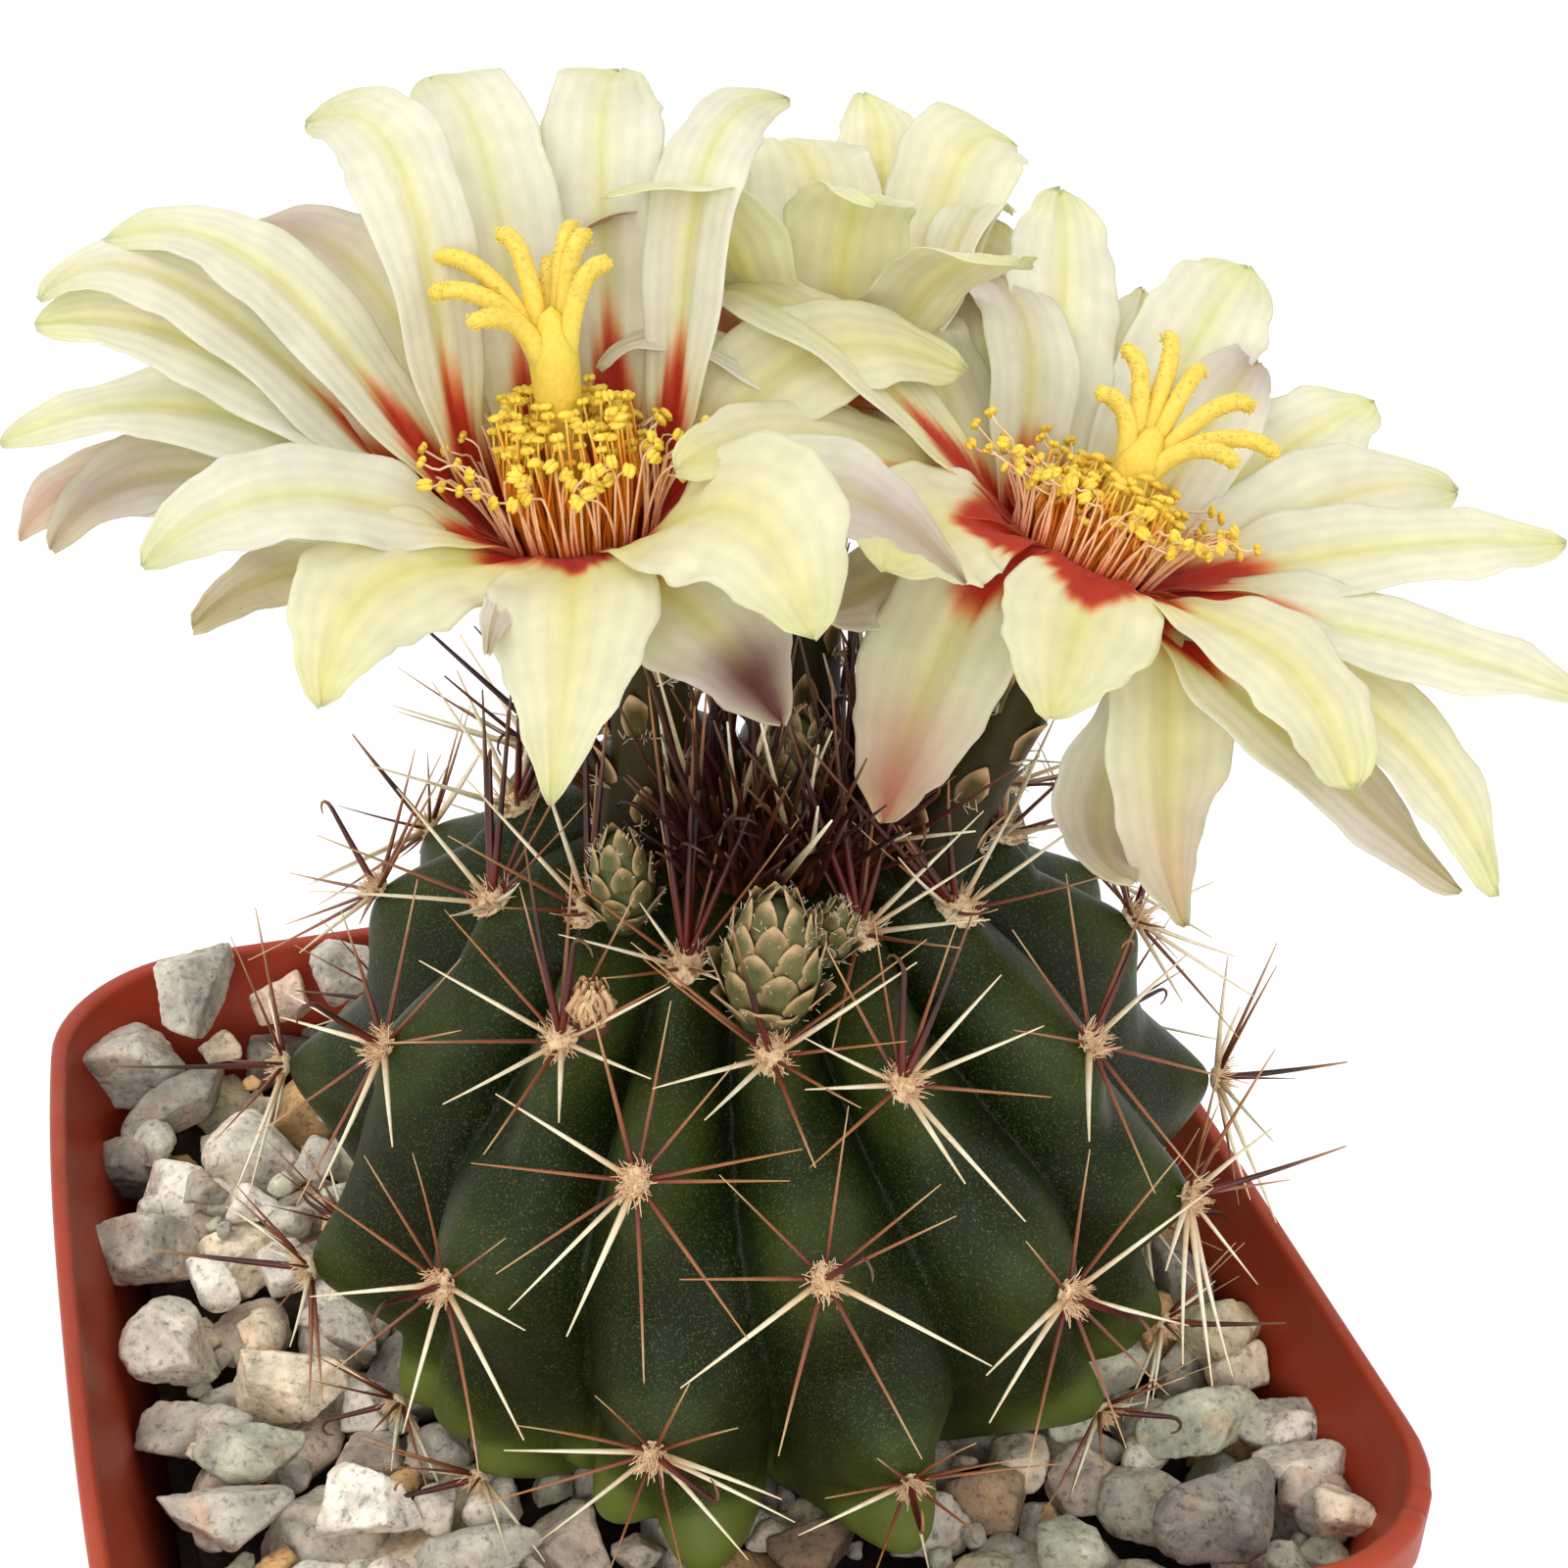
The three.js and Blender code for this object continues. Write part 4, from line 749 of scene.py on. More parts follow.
def build_stem():
    na, nr = 494, 200
    t = np.linspace(0, math.pi, nr + 2)[1:-1]
    az = np.arange(na) * 360.0 / na - 180
    z = SZ + np.cos(t) * np.where(np.cos(t) > 0, SUP, SDN)
    AZ, Z = np.meshgrid(az, z)
    r, x, bv = stem_radius(AZ, Z, True)
    p = stem_point(AZ, Z)
    rng = np.random.default_rng(5)
    flat = p.reshape(-1, 3)
    d = unit(np.stack([np.cos(np.radians(AZ)), np.sin(np.radians(AZ)), (Z - SZ) / 60], -1)).reshape(-1, 3)
    nz = 0.42 * sine_noise(flat, rng, 16, 2) + 0.07 * sine_noise(flat, rng, 4.5, 2)
    flat = flat + d * nz[:, None]
    # colour: dark above, paler green on the chins and in the lower flanks
    low = smooth01((98 - Z) / 26)
    nose = np.clip(bv / 3.0, 0, 1)
    low2 = smooth01((86 - Z) / 16)
    c = mixc(lin(19, 26, 8), lin(29, 37, 11), low * 0.9)
    c = mixc(c, lin(84, 102, 34), np.clip(nose * (0.12 + 0.88 * low2), 0, 1) * 0.9)
    c = mixc(c, lin(138, 152, 72), np.clip((nose - 0.66) * 2.4, 0, 1) * (0.06 + 0.86 * low2))
    c = mixc(c, lin(84, 94, 34), low2 * 0.38)
    # painted shade: the grooves between the ribs are darkened towards lin(12, 20, 9), most strongly near the top where
    # they are deepest
    groove = smooth01((x - 0.70) / 0.30) * np.clip(0.25 + 1.3 * smooth01((Z - 98) / 14), 0, 1)
    c = mixc(c, lin(12, 20, 9), groove * 0.65)
    c = c.reshape(-1, 3)
    cv = 0.5 + 0.5 * sine_noise(flat, rng, 9.0, 3)
    c = c * (0.88 + 0.24 * cv)[:, None]
    q = grid_quads(nr, na, True)[:, ::-1]
    k = len(flat)
    top = A([[SX, SY, SZ + SUP - 2.2]])
    bot = A([[SX, SY, SZ - SDN]])
    j = np.arange(na)
    jn = (j + 1) % na
    tri = np.vstack([np.stack([np.full(na, k), j, jn], -1), np.stack([np.full(na, k + 1), (nr - 1) * na + jn, (nr - 1) * na + j], -1)])
    s = Soup()
    s.add(np.vstack([flat, top, bot]), q, tri, np.vstack([c, lin(60, 80, 50), lin(60, 60, 40)]))
    return s.make("stem_skin_surface", m_stem)


stem = build_stem()
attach(stem, "root")
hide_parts("cactus_stem")

# ------------------------------------------------------------------ spines
IVORY, IVORY2, RED, DARK, TAN, STRAW = lin(238, 228, 198), lin(214, 194, 150), lin(100, 26, 15), lin(34, 9, 9), lin(184, 126, 72), lin(210, 170, 110)
FELT, FELT2 = lin(240, 216, 178), lin(224, 178, 132)


def spine(soup, root, d, length, r0, curve, hook, colours, bend=None, rng=None, flat=1.0):
    """A tapered needle from root along d. curve bends it towards bend, hook turns its tip over."""
    k = 13 if hook else 9
    s = np.linspace(0, 1, k)
    if bend is None:
        bend = A([0, 0, 1.0])
    bend = unit(bend - d * d.dot(bend))
    p = root + np.outer(s * length, d) + np.outer(curve * length * s * s, bend)
    if hook:
        # the last part rolls over into a hook
        n0 = 8
        e = p[n0 - 1]
        td = unit(p[n0 - 1] - p[n0 - 2])
        hb = unit(-bend - td * td.dot(-bend)) if hook < 0 else unit(bend - td * td.dot(bend))
        rr = abs(hook)
        th = np.linspace(0, 2.9, k - n0 + 1)[1:]
        p[n0:] = e + rr * (np.outer(np.sin(th), td) + np.outer(1 - np.cos(th), hb))
    r = r0 * (1 - 0.80 * s ** 1.3)
    c = A([mixc(colours[0], colours[1], smooth01(q / 0.55)) if q < 0.55 else mixc(colours[1], colours[2], smooth01((q - 0.55) / 0.45)) for q in s]).reshape(k, 3)
    tube(soup, p, r, 6, c, flat)


AVOID = []
KD = []


def clear(points, gap):
    """True where no point comes within gap of a petal, tube or bud."""
    for p in points:
        if KD[0].find(p)[2] < gap:
            return False
    return True


def free_spine(soup, root, d, length, r0, curve, hook, colours, bend, rng, flat=1.0, skip=2.5):
    """Like spine(), but it keeps off the petals: it tries other ways, then a shorter one."""
    for attempt in range(9):
        tip = root + d * length
        u = np.linspace(0, 1, 14)
        line = root + np.outer(u * length, d) + np.outer(curve * length * u * u, unit(bend - d * d.dot(bend)))
        far = line[u * length > skip]
        if clear(far, 0.75):
            spine(soup, root, d, length, r0, curve, hook, colours, bend, rng, flat)
            return
        if attempt < 4:
            d = unit(d + rng.normal(size=3) * 0.16)
        else:
            length *= 0.80
            hook = 0


def build_spines(i):
    rng = np.random.default_rng(400 + i)
    sp, felt = Soup(), Soup()
    for (az, z) in RIBS[i]:
        p = stem_point(A([az]), A([z]))[0]
        n = stem_normal(az, z)
        top = smooth01((z - 108) / 9)
        lowz = smooth01((92 - z) / 10)
        c0 = p + n * 0.30
        side = unit(np.cross(A([0, 0, 1.0]), n))
        up = unit(np.cross(n, side))
        # felt pad: a lumpy cushion with a tuft of short wool
        size = 0.82 + 0.40 * top - 0.20 * lowz + 0.18 * rng.random()
        blob(felt, c0, A([side * size * 0.9, up * size * 1.2, n * size * 0.55]), mixc(FELT, FELT2, rng.random() * 0.5), 3, 0.12, rng)
        for _ in range(150):
            a = rng.random() * 6.283
            rr = size * math.sqrt(rng.random())
            root = c0 + (side * math.cos(a) * 0.9 + up * math.sin(a) * 1.15) * rr
            dd = unit(n * (0.6 + 0.6 * rng.random()) + (side * math.cos(a) + up * math.sin(a)) * (0.5 * rr + 0.3 * rng.normal()))
            l = 0.55 + 0.65 * rng.random()
            pts = root + np.outer(np.linspace(0, 1, 4) * l, dd) + np.outer(np.linspace(0, 1, 4) ** 2 * l * 0.5, unit(rng.normal(size=3)))
            tube(felt, pts, A([0.085, 0.075, 0.05, 0.02]), 3, mixc(FELT, FELT2, rng.random()))
        # radials
        nrad = int(rng.integers(9, 13))
        off = rng.random()
        for j in range(nrad):
            a = (j + off + 0.22 * rng.normal()) * 2 * math.pi / nrad
            rad_dir = side * math.sin(a) + up * math.cos(a)
            lift = 0.16 + 0.22 * rng.random() + 0.55 * top
            d = unit(rad_dir + n * lift + up * 0.35 * top)
            vert = math.cos(a)
            length = (8.6 + 3.0 * rng.random()) * (1 + 0.10 * abs(vert)) * (1 - 0.24 * lowz)
            w = rng.random()
            thin = 1 - 0.15 * lowz
            if vert > 0.45 or (vert < -0.7 and w < 0.6):
                colours = (RED * 0.8, mixc(RED, TAN, 0.20 + 0.4 * w), mixc(TAN, IVORY2, 0.5))
                r0 = 0.20 * thin
            elif w < 0.16:
                colours = (RED, mixc(RED, TAN, 0.5), TAN)
                r0 = 0.20 * thin
            else:
                colours = (mixc(IVORY2, TAN, 0.5), IVORY, mixc(IVORY, STRAW, 0.4))
                r0 = 0.25 * thin
            free_spine(sp, c0 + rad_dir * 0.4, d, length, r0 * (0.9 + 0.2 * rng.random()), -0.03 + 0.10 * rng.random(), 0, colours, n, rng, 0.72)
        # centrals
        ncen = (1 if rng.random() < 0.8 else 0) if top < 0.2 else (2 if top < 0.8 else 4)
        for j in range(ncen):
            up_amt = 0.10 + 0.55 * rng.random() + 0.9 * top
            d = unit(n + up * up_amt + side * rng.normal() * (0.42 + 0.1 * top) + A([0, 0, 1.0]) * top * 0.6)
            length = (9.5 + 5 * rng.random()) * (1 - 0.35 * lowz) + 6 * top * (0.6 + 0.6 * rng.random())
            dark = rng.random()
            colours = (RED, mixc(DARK, RED, 0.35 * dark), mixc(RED, TAN, 0.75) if rng.random() < 0.5 else mixc(DARK, TAN, 0.35))
            hooked = j == 0 and rng.random() < 0.75
            free_spine(sp, c0, d, length, 0.26 + 0.05 * rng.random(), 0.03 + 0.06 * rng.random(), (-0.85 if rng.random() < 0.75 else 0.8) if hooked else 0, colours, A([0, 0, 1.0]), rng)
    # the young spines of the crown, erect and dark
    a_top = RIBS[i][0][0]
    seen = -150 < a_top < 10
    for j in range(34 if seen else 10):
        az = a_top + rng.normal() * 11
        r = 3.0 + 7.5 * math.sqrt(rng.random())
        root = A([SX + r * math.cos(math.radians(az)), SY + r * math.sin(math.radians(az)), 0.0])
        t = min(0.98, r / SR)
        root[2] = SZ + SUP * math.sqrt(1 - t * t) - 2.6 * math.exp(-(r / 7) ** 2) - 1.6
        outd = unit(A([root[0] - SX, root[1] - SY, 0]))
        tilt = 0.05 + 0.55 * rng.random()
        d = unit(A([0, 0, 1.0]) + outd * tilt + A([rng.normal(), rng.normal(), 0]) * 0.30)
        length = 11.5 + 10.5 * rng.random()
        w = rng.random()
        colours = (mixc(RED, TAN, 0.2), mixc(DARK, RED, 0.40 * w), mixc(DARK, TAN, 0.25 * w))
        if rng.random() < 0.16:
            colours = (TAN, IVORY2, IVORY)
        free_spine(sp, root, d, length, 0.27 + 0.10 * rng.random(), 0.05 * rng.normal(), -0.9 if rng.random() < 0.10 else 0, colours, unit(A([rng.normal(), rng.normal(), 0.3])), rng)
    # crown wool
    for j in range(60):
        az = a_top + rng.normal() * 12
        r = 2.0 + 7.0 * math.sqrt(rng.random())
        root = A([SX + r * math.cos(math.radians(az)), SY + r * math.sin(math.radians(az)), 0.0])
        t = min(0.98, r / SR)
        root[2] = SZ + SUP * math.sqrt(1 - t * t) - 2.6 * math.exp(-(r / 7) ** 2) - 1.3
        l = 0.9 + 0.9 * rng.random()
        dd = unit(A([rng.normal() * 0.5, rng.normal() * 0.5, 1.0]))
        pts = root + np.outer(np.linspace(0, 1, 4) * l, dd) + np.outer(np.linspace(0, 1, 4) ** 2 * l * 0.5, unit(rng.normal(size=3)))
        tube(felt, pts, A([0.09, 0.08, 0.06, 0.02]), 3, mixc(FELT, FELT2, rng.random()))
    a = sp.make("spines_%02d" % (i + 1), m_spine)
    b = felt.make("areole_felt_%02d" % (i + 1), m_felt)
    for o in (a, b):
        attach(o, "root")
        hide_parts("spines_rib_%02d" % (i + 1))


# ------------------------------------------------------------------ flowers
def bez(P, u):
    u = np.asarray(u, float)[:, None]
    k = 1 - u
    return P[0] * k ** 3 + 3 * P[1] * k * k * u + 3 * P[2] * k * u * u + P[3] * u ** 3


class FlowerFrame:
    def __init__(self, f):
        self.base, self.c = A(f["base"]), A(f["C"])
        self.ax = unit(self.c - self.base)
        self.len = float(np.linalg.norm(self.c - self.base))
        self.e1 = unit(np.cross(A([0, 1.0, 0]), self.ax))
        self.e2 = np.cross(self.ax, self.e1)
        self.bend = A(f.get("bend", [0, 0, 0]), float)

    def shift(self, h):
        """The tube bows sideways between its foot and the flower."""
        w = min(max((h + self.len) / (self.len - 3.0), 0.0), 1.0)
        return self.bend * math.sin(math.pi * w ** 1.25)

    def at(self, r, a, h):
        """Point at radius r, angle a (radians) and height h along the axis from the centre."""
        return self.c + r * (math.cos(a) * self.e1 + math.sin(a) * self.e2) + h * self.ax


def petal_midrib(F, whorl, mid, tip):
    out = mid - F.c
    out = unit(out - F.ax * out.dot(F.ax))
    inner = whorl == "i"
    b = F.c + out * (5.0 if inner else 5.3) + F.ax * (-2.9 if inner else -4.4)
    ln = np.linalg.norm(tip - b)
    el = float((mid - F.c) @ F.ax) / float(np.linalg.norm(mid - F.c))
    p1 = b + F.ax * ln * float(np.clip(0.055 + 0.26 * el, 0.02, 0.17)) + out * ln * (0.19 + 0.05 * (el < 0.1))
    t, k = 0.6, 0.4
    p2 = (mid - b * k ** 3 - p1 * 3 * k * k * t - tip * t ** 3) / (3 * k * t * t)
    return [b, p1, p2, tip]


PALE, CREAM, YEL, GREENY = lin(246, 244, 236), lin(245, 241, 224), lin(243, 236, 152), lin(228, 230, 136)
THROAT, ORANGE, PINK, BROWN, MAUVE = lin(206, 46, 22), lin(240, 146, 56), lin(214, 116, 104), lin(92, 24, 24), lin(222, 190, 168)
# how pointed some petals are (0 rounded, 1 pointed)
RED_REACH = {(0, "n"): 0.55, (0, "o"): 0.5, (0, "p"): 0.55, (0, "q"): 0.45, (0, "l"): 0.7, (0, "k"): 0.8, (0, "j"): 0.8, (0, "t"): 0.5, (1, "l"): 0.6, (1, "j"): 0.7, (1, "m"): 0.6, (1, "n"): 1.3, (1, "o"): 1.2, (1, "p"): 1.35}
SHARP = {(0, "o"): 0.9, (0, "p"): 0.7, (0, "q"): 0.45, (0, "n"): 0.6, (0, "a"): 0.25, (0, "b"): 0.2, (0, "c"): 0.05, (0, "d"): 0.3, (0, "f"): 0.45, (0, "h"): 0.45, (0, "i"): 0.45,
         (1, "a"): 0.15, (1, "c"): 0.05, (1, "e"): 0.3, (1, "f"): 0.4, (1, "g"): 0.5, (1, "h"): 0.6, (1, "l"): 0.75, (1, "o"): 0.75, (1, "n"): 0.6, (1, "q"): 0.4, (2, "c"): 0.15, (2, "g"): 0.1, (2, "b"): 0.5}


# some petals are narrower than their neighbours, some are yellower
WSCALE = {(0, "t"): 0.5, (1, "s"): 0.6, (0, "a"): 0.82, (0, "b"): 0.9, (0, "c"): 0.82, (0, "d"): 0.66, (0, "f"): 0.74, (0, "g"): 0.84, (0, "h"): 0.84, (1, "j"): 0.9, (1, "q"): 0.85, (1, "t"): 0.85, (1, "v"): 0.66, (1, "o"): 0.88, (1, "x"): 0.85}
LEMON = {(0, "n"): 0.42, (0, "o"): 0.36, (0, "q"): 0.36, (0, "w"): 0.45, (0, "m"): 0.3, (1, "l"): 0.45, (1, "n"): 0.5, (1, "o"): 0.42, (1, "p"): 0.5, (1, "q"): 0.5, (1, "j"): 0.36, (1, "i"): 0.3, (1, "t"): 0.4}


def add_petal(soup, F, row, rng, fi):
    nm, whorl, mx, my, mz, tx, ty, tz, w, tint = row
    P = petal_midrib(F, whorl, A([mx, my, mz]), A([tx, ty, tz]))
    w = w * 1.10 * WSCALE.get((fi, nm), 1.0)
    nu, nv = 46, 25
    u = np.linspace(0, 1, nu) ** 0.95
    c = bez(P, u)
    t = unit(np.gradient(c, axis=0))
    probe = bez(P, np.maximum(u, 0.35)) - F.c
    out = unit(probe - np.outer(probe @ F.ax, F.ax))
    side = unit(np.cross(F.ax, out))
    n = unit(np.cross(t, side))
    flip = np.where((n @ F.ax < 0) & (np.abs(n @ F.ax) > np.abs((n * out).sum(1))), -1.0, 1.0)
    # keep the normal on one side all along
    for k in range(1, nu):
        if n[k] @ n[k - 1] < 0:
            n[k] = -n[k]
    if (n[:nu // 2] @ F.ax).mean() < 0 and (n[:nu // 2] * out[:nu // 2]).sum(1).mean() > 0:
        n = -n
    side = unit(np.cross(t, n))
    # each petal turns a little on its own midrib
    face = -FWD - t * (t @ -FWD)[:, None]
    fn = unit(face)
    ang = np.arctan2((np.cross(n, fn) * t).sum(1), (n * fn).sum(1))
    k0 = int(nu * 0.55)
    turn = float(np.clip(0.58 * ang[k0], -0.62, 0.62)) if abs(ang[k0]) < 1.9 else 0.0
    twist = rng.normal() * 0.12 * u + turn * smooth01(u / 0.42)
    n2 = n * np.cos(twist)[:, None] + np.cross(t, n) * np.sin(twist)[:, None]
    s2 = np.cross(t, n2)
    sharp = 0.10 + 0.45 * rng.random() if whorl == "i" else 0.45 + 0.4 * rng.random()
    sharp = SHARP.get((fi, nm), sharp)
    body = 0.44 + 0.56 * smooth01(u / (0.62 - 0.22 * sharp))
    q = np.clip((u - (0.74 - 0.24 * sharp)) / (0.26 + 0.24 * sharp), 0, 1)
    rounded = np.sqrt(np.maximum(0, 1 - q ** 2.0))
    pointed = (1 - q) ** 0.9 * (1 + 0.45 * q)
    hw = 0.5 * w * body * ((1 - sharp) * rounded + sharp * pointed)
    cusp = 0.30 * np.exp(-((u - 0.985) / 0.02) ** 2)
    hw = np.maximum(hw, 0.10) + cusp * 0.3
    v = np.linspace(-1, 1, nv)
    v = np.sign(v) * np.abs(v) ** 0.92
    U, V = np.meshgrid(u, v, indexing="ij")
    ph = rng.random(6) * 6.283
    # the margin waves, more towards the tip
    edge = 1 + 0.028 * np.sin(U * 21 + ph[0] + V * 1.5) * smooth01(U * 1.6) + 0.045 * np.sin(U * 47 + ph[1] - V * 2) * smooth01((U - 0.45) * 2.2) + 0.03 * np.sin(U * 83 + ph[3] + V * 3) * smooth01((U - 0.6) * 3)
    H = hw[:, None] * edge
    cup = (0.34 * (1 - U) ** 1.3 - 0.04) * H * V * V
    wave = 0.42 * np.abs(V) ** 1.6 * np.sin(U * 13 + ph[2] + np.sign(V) * ph[3]) * smooth01(U * 1.5) * (w / 8.0) * 0.75
    wave += 0.16 * np.abs(V) ** 2 * np.sin(U * 31 + ph[4] + np.sign(V) * 2.1)
    groove = -0.30 * np.exp(-(V / 0.13) ** 2) * (1 - 0.6 * U) + 0.10 * np.exp(-((np.abs(V) - 0.34) / 0.16) ** 2)
    veins = 0.045 * np.cos(V * 22 + 0.5 * np.sin(U * 9 + ph[5]))
    hgt = cup + wave + groove + veins
    thick = 0.06 + 0.26 * (1 - U) * (1 - V * V)
    P3 = c[:, None, :] + s2[:, None, :] * (H * V)[..., None] + n2[:, None, :] * hgt[..., None]
    top = P3 + n2[:, None, :] * (thick * 0.5)[..., None]
    bot = P3 - n2[:, None, :] * (thick * 0.5)[..., None]
    # colours
    base = mixc(CREAM, PALE, 0.35 + 0.5 * np.abs(V))
    base = mixc(base, YEL, 0.78 * np.exp(-(V / 0.24) ** 2) * (0.36 + 0.60 * (1 - U)) * (0.5 + 0.5 * rng.random()))
    base = mixc(base, GREENY, 0.40 * smooth01((U - 0.82) / 0.18) + 0.34 * np.exp(-(V / 0.09) ** 2) * smooth01((0.97 - U) * 4))
    base = mixc(base, YEL, 0.62 * smooth01((0.42 - U) / 0.25))
    base = mixc(base, YEL, LEMON.get((fi, nm), (0.0, 0.08, 0.22)[fi]) * (0.55 + 0.45 * np.exp(-(V / 0.6) ** 2)) * np.ones_like(U))
    # the red of the throat runs up each midrib in a wedge
    reach = RED_REACH.get((fi, nm), 1.0) * (0.9 + 0.2 * rng.random())
    wedge = (0.22 + 0.19 * np.exp(-(V / 0.50) ** 2) + 0.012 * np.sin(V * 23 + ph[0]) + 0.010 * np.sin(V * 51 + ph[1])) * reach
    base = mixc(base, ORANGE, smooth01((wedge + 0.035 - U) / 0.085) * 0.9)
    base = mixc(base, THROAT, smooth01((wedge - 0.01 - U) / 0.075) * 0.97)
    shade = 1 - 0.06 * (0.5 + 0.5 * np.cos(V * 22 + 0.5 * np.sin(U * 9 + ph[5]))) * smooth01((U - 0.2) * 5)
    topc = base * shade[..., None]
    botc = mixc(topc, GREENY * 0.9, 0.25 + 0 * U)
    if tint >= 1:
        k = smooth01((U - 0.55) / 0.40)
        tip_c = PINK if (fi, nm) in ((1, "o"), (1, "l"), (0, "j")) else mixc(PINK, BROWN, 0.6)
        amount = {(1, "l"): 0.35, (1, "o"): 1.0, (0, "p"): 0.85}.get((fi, nm), 0.55 if tint == 1 else 0.25)
        topc = mixc(topc, tip_c, k * (0.25 + 0.6 * np.exp(-(V / 0.6) ** 2)) * amount)
        if (fi, nm) == (0, "p"):
            topc = mixc(topc, BROWN, smooth01((U - 0.66) / 0.22) * np.exp(-(V / 0.8) ** 2) * 0.95)
        botc = mixc(botc, mixc(PINK, BROWN, 0.5), k * 0.8)
    if whorl == "o" or tint == 2:
        botc = mixc(botc, mixc(MAUVE, BROWN, 0.35), 0.5 * np.exp(-(V / 0.5) ** 2) * (0.4 + 0.6 * U))
    vt = np.vstack([top.reshape(-1, 3), bot.reshape(-1, 3)])
    ct = np.vstack([topc.reshape(-1, 3), botc.reshape(-1, 3)])
    q1 = grid_quads(nu, nv)
    q2 = q1[:, ::-1] + nu * nv
    # border strip
    ring = list(range(nv)) + [i * nv + nv - 1 for i in range(1, nu)] + [(nu - 1) * nv + j for j in range(nv - 2, -1, -1)] + [i * nv for i in range(nu - 2, 0, -1)]
    ring = A(ring)
    nx = np.roll(ring, -1)
    q3 = np.stack([ring, ring + nu * nv, nx + nu * nv, nx], -1)
    qa = np.vstack([q1, q2, q3])
    # orient outwards: the first top quad must face along n
    a, b_, c_, _ = vt[q1[(nu // 2) * (nv - 1) + nv // 2]]
    if np.dot(np.cross(b_ - a, c_ - a), n2[nu // 2]) < 0:
        qa = qa[:, ::-1]
    soup.add(vt, qa, None, ct)


def collar(soup, F, prof, cols, n=48, wob=0.0, rng=None, bent=False):
    """A turned closed shape. prof is a closed loop of (radius, height); cols one colour per point."""
    a = np.arange(n) * 2 * math.pi / n
    rows = []
    for k, (r, h) in enumerate(prof):
        rr = r * (1 + (wob * np.sin(a * 5 + k * 0.3) if wob else 0)) * np.ones(n)
        rows.append(F.c + (F.shift(h) if bent else 0) + (rr * np.cos(a))[:, None] * F.e1 + (rr * np.sin(a))[:, None] * F.e2 + h * F.ax)
    v = np.vstack(rows)
    kk = len(prof)
    i = np.arange(kk)[:, None]
    j = np.arange(n)[None, :]
    i2 = (i + 1) % kk
    j2 = (j + 1) % n
    q = np.stack([i * n + j, i * n + j2, i2 * n + j2, i2 * n + j], -1).reshape(-1, 4)
    # signed volume decides the winding
    A0, B0, C0, D0 = v[q[:, 0]], v[q[:, 1]], v[q[:, 2]], v[q[:, 3]]
    vol = (np.einsum("ij,ij->i", A0 - F.c, np.cross(B0 - F.c, C0 - F.c)) + np.einsum("ij,ij->i", A0 - F.c, np.cross(C0 - F.c, D0 - F.c))).sum()
    if vol < 0:
        q = q[:, ::-1]
    soup.add(v, q, None, np.repeat(A(cols), n, 0))


def leaf_scale(soup, root, out, up, length, width, colours, rng, curl=0.25, thick=0.22):
    """A small pointed scale lying along up and standing off along out."""
    nu, nv = 8, 7
    u = np.linspace(0, 1, nu)
    v = np.linspace(-1, 1, nv)
    side = unit(np.cross(up, out))
    U, V = np.meshgrid(u, v, indexing="ij")
    hw = width * 0.5 * np.minimum(1, (0.75 + U * 0.9)) * np.maximum(0.04, (1 - U ** 2.2)) ** 0.8
    p = root + up * (U * length)[..., None] + side * (V * hw)[..., None] + out * (curl * length * U ** 2 + 0.10 - 0.35 * hw * V * V)[..., None]
    th = thick * (1 - 0.6 * np.abs(V)) * (1 - 0.6 * U)
    a = p + out * (th * 0.5)[..., None]
    b = p - out * (th * 0.5)[..., None]
    edge = smooth01((np.maximum(np.abs(V), U) - 0.55) / 0.4)
    c = mixc(colours[0], colours[1], edge)
    q1 = grid_quads(nu, nv)
    ring = A(list(range(nv)) + [i * nv + nv - 1 for i in range(1, nu)] + [(nu - 1) * nv + j for j in range(nv - 2, -1, -1)] + [i * nv for i in range(nu - 2, 0, -1)])
    nx = np.roll(ring, -1)
    qa = np.vstack([q1, q1[:, ::-1] + nu * nv, np.stack([ring, ring + nu * nv, nx + nu * nv, nx], -1)])
    vt = np.vstack([a.reshape(-1, 3), b.reshape(-1, 3)])
    A0, B0, C0 = vt[qa[0, 0]], vt[qa[0, 1]], vt[qa[0, 2]]
    if np.dot(np.cross(B0 - A0, C0 - A0), out) < 0:
        qa = qa[:, ::-1]
    soup.add(vt, qa, None, np.vstack([c.reshape(-1, 3), c.reshape(-1, 3) * 0.9]))


DROP = (0.0, -2.6, -2.8)


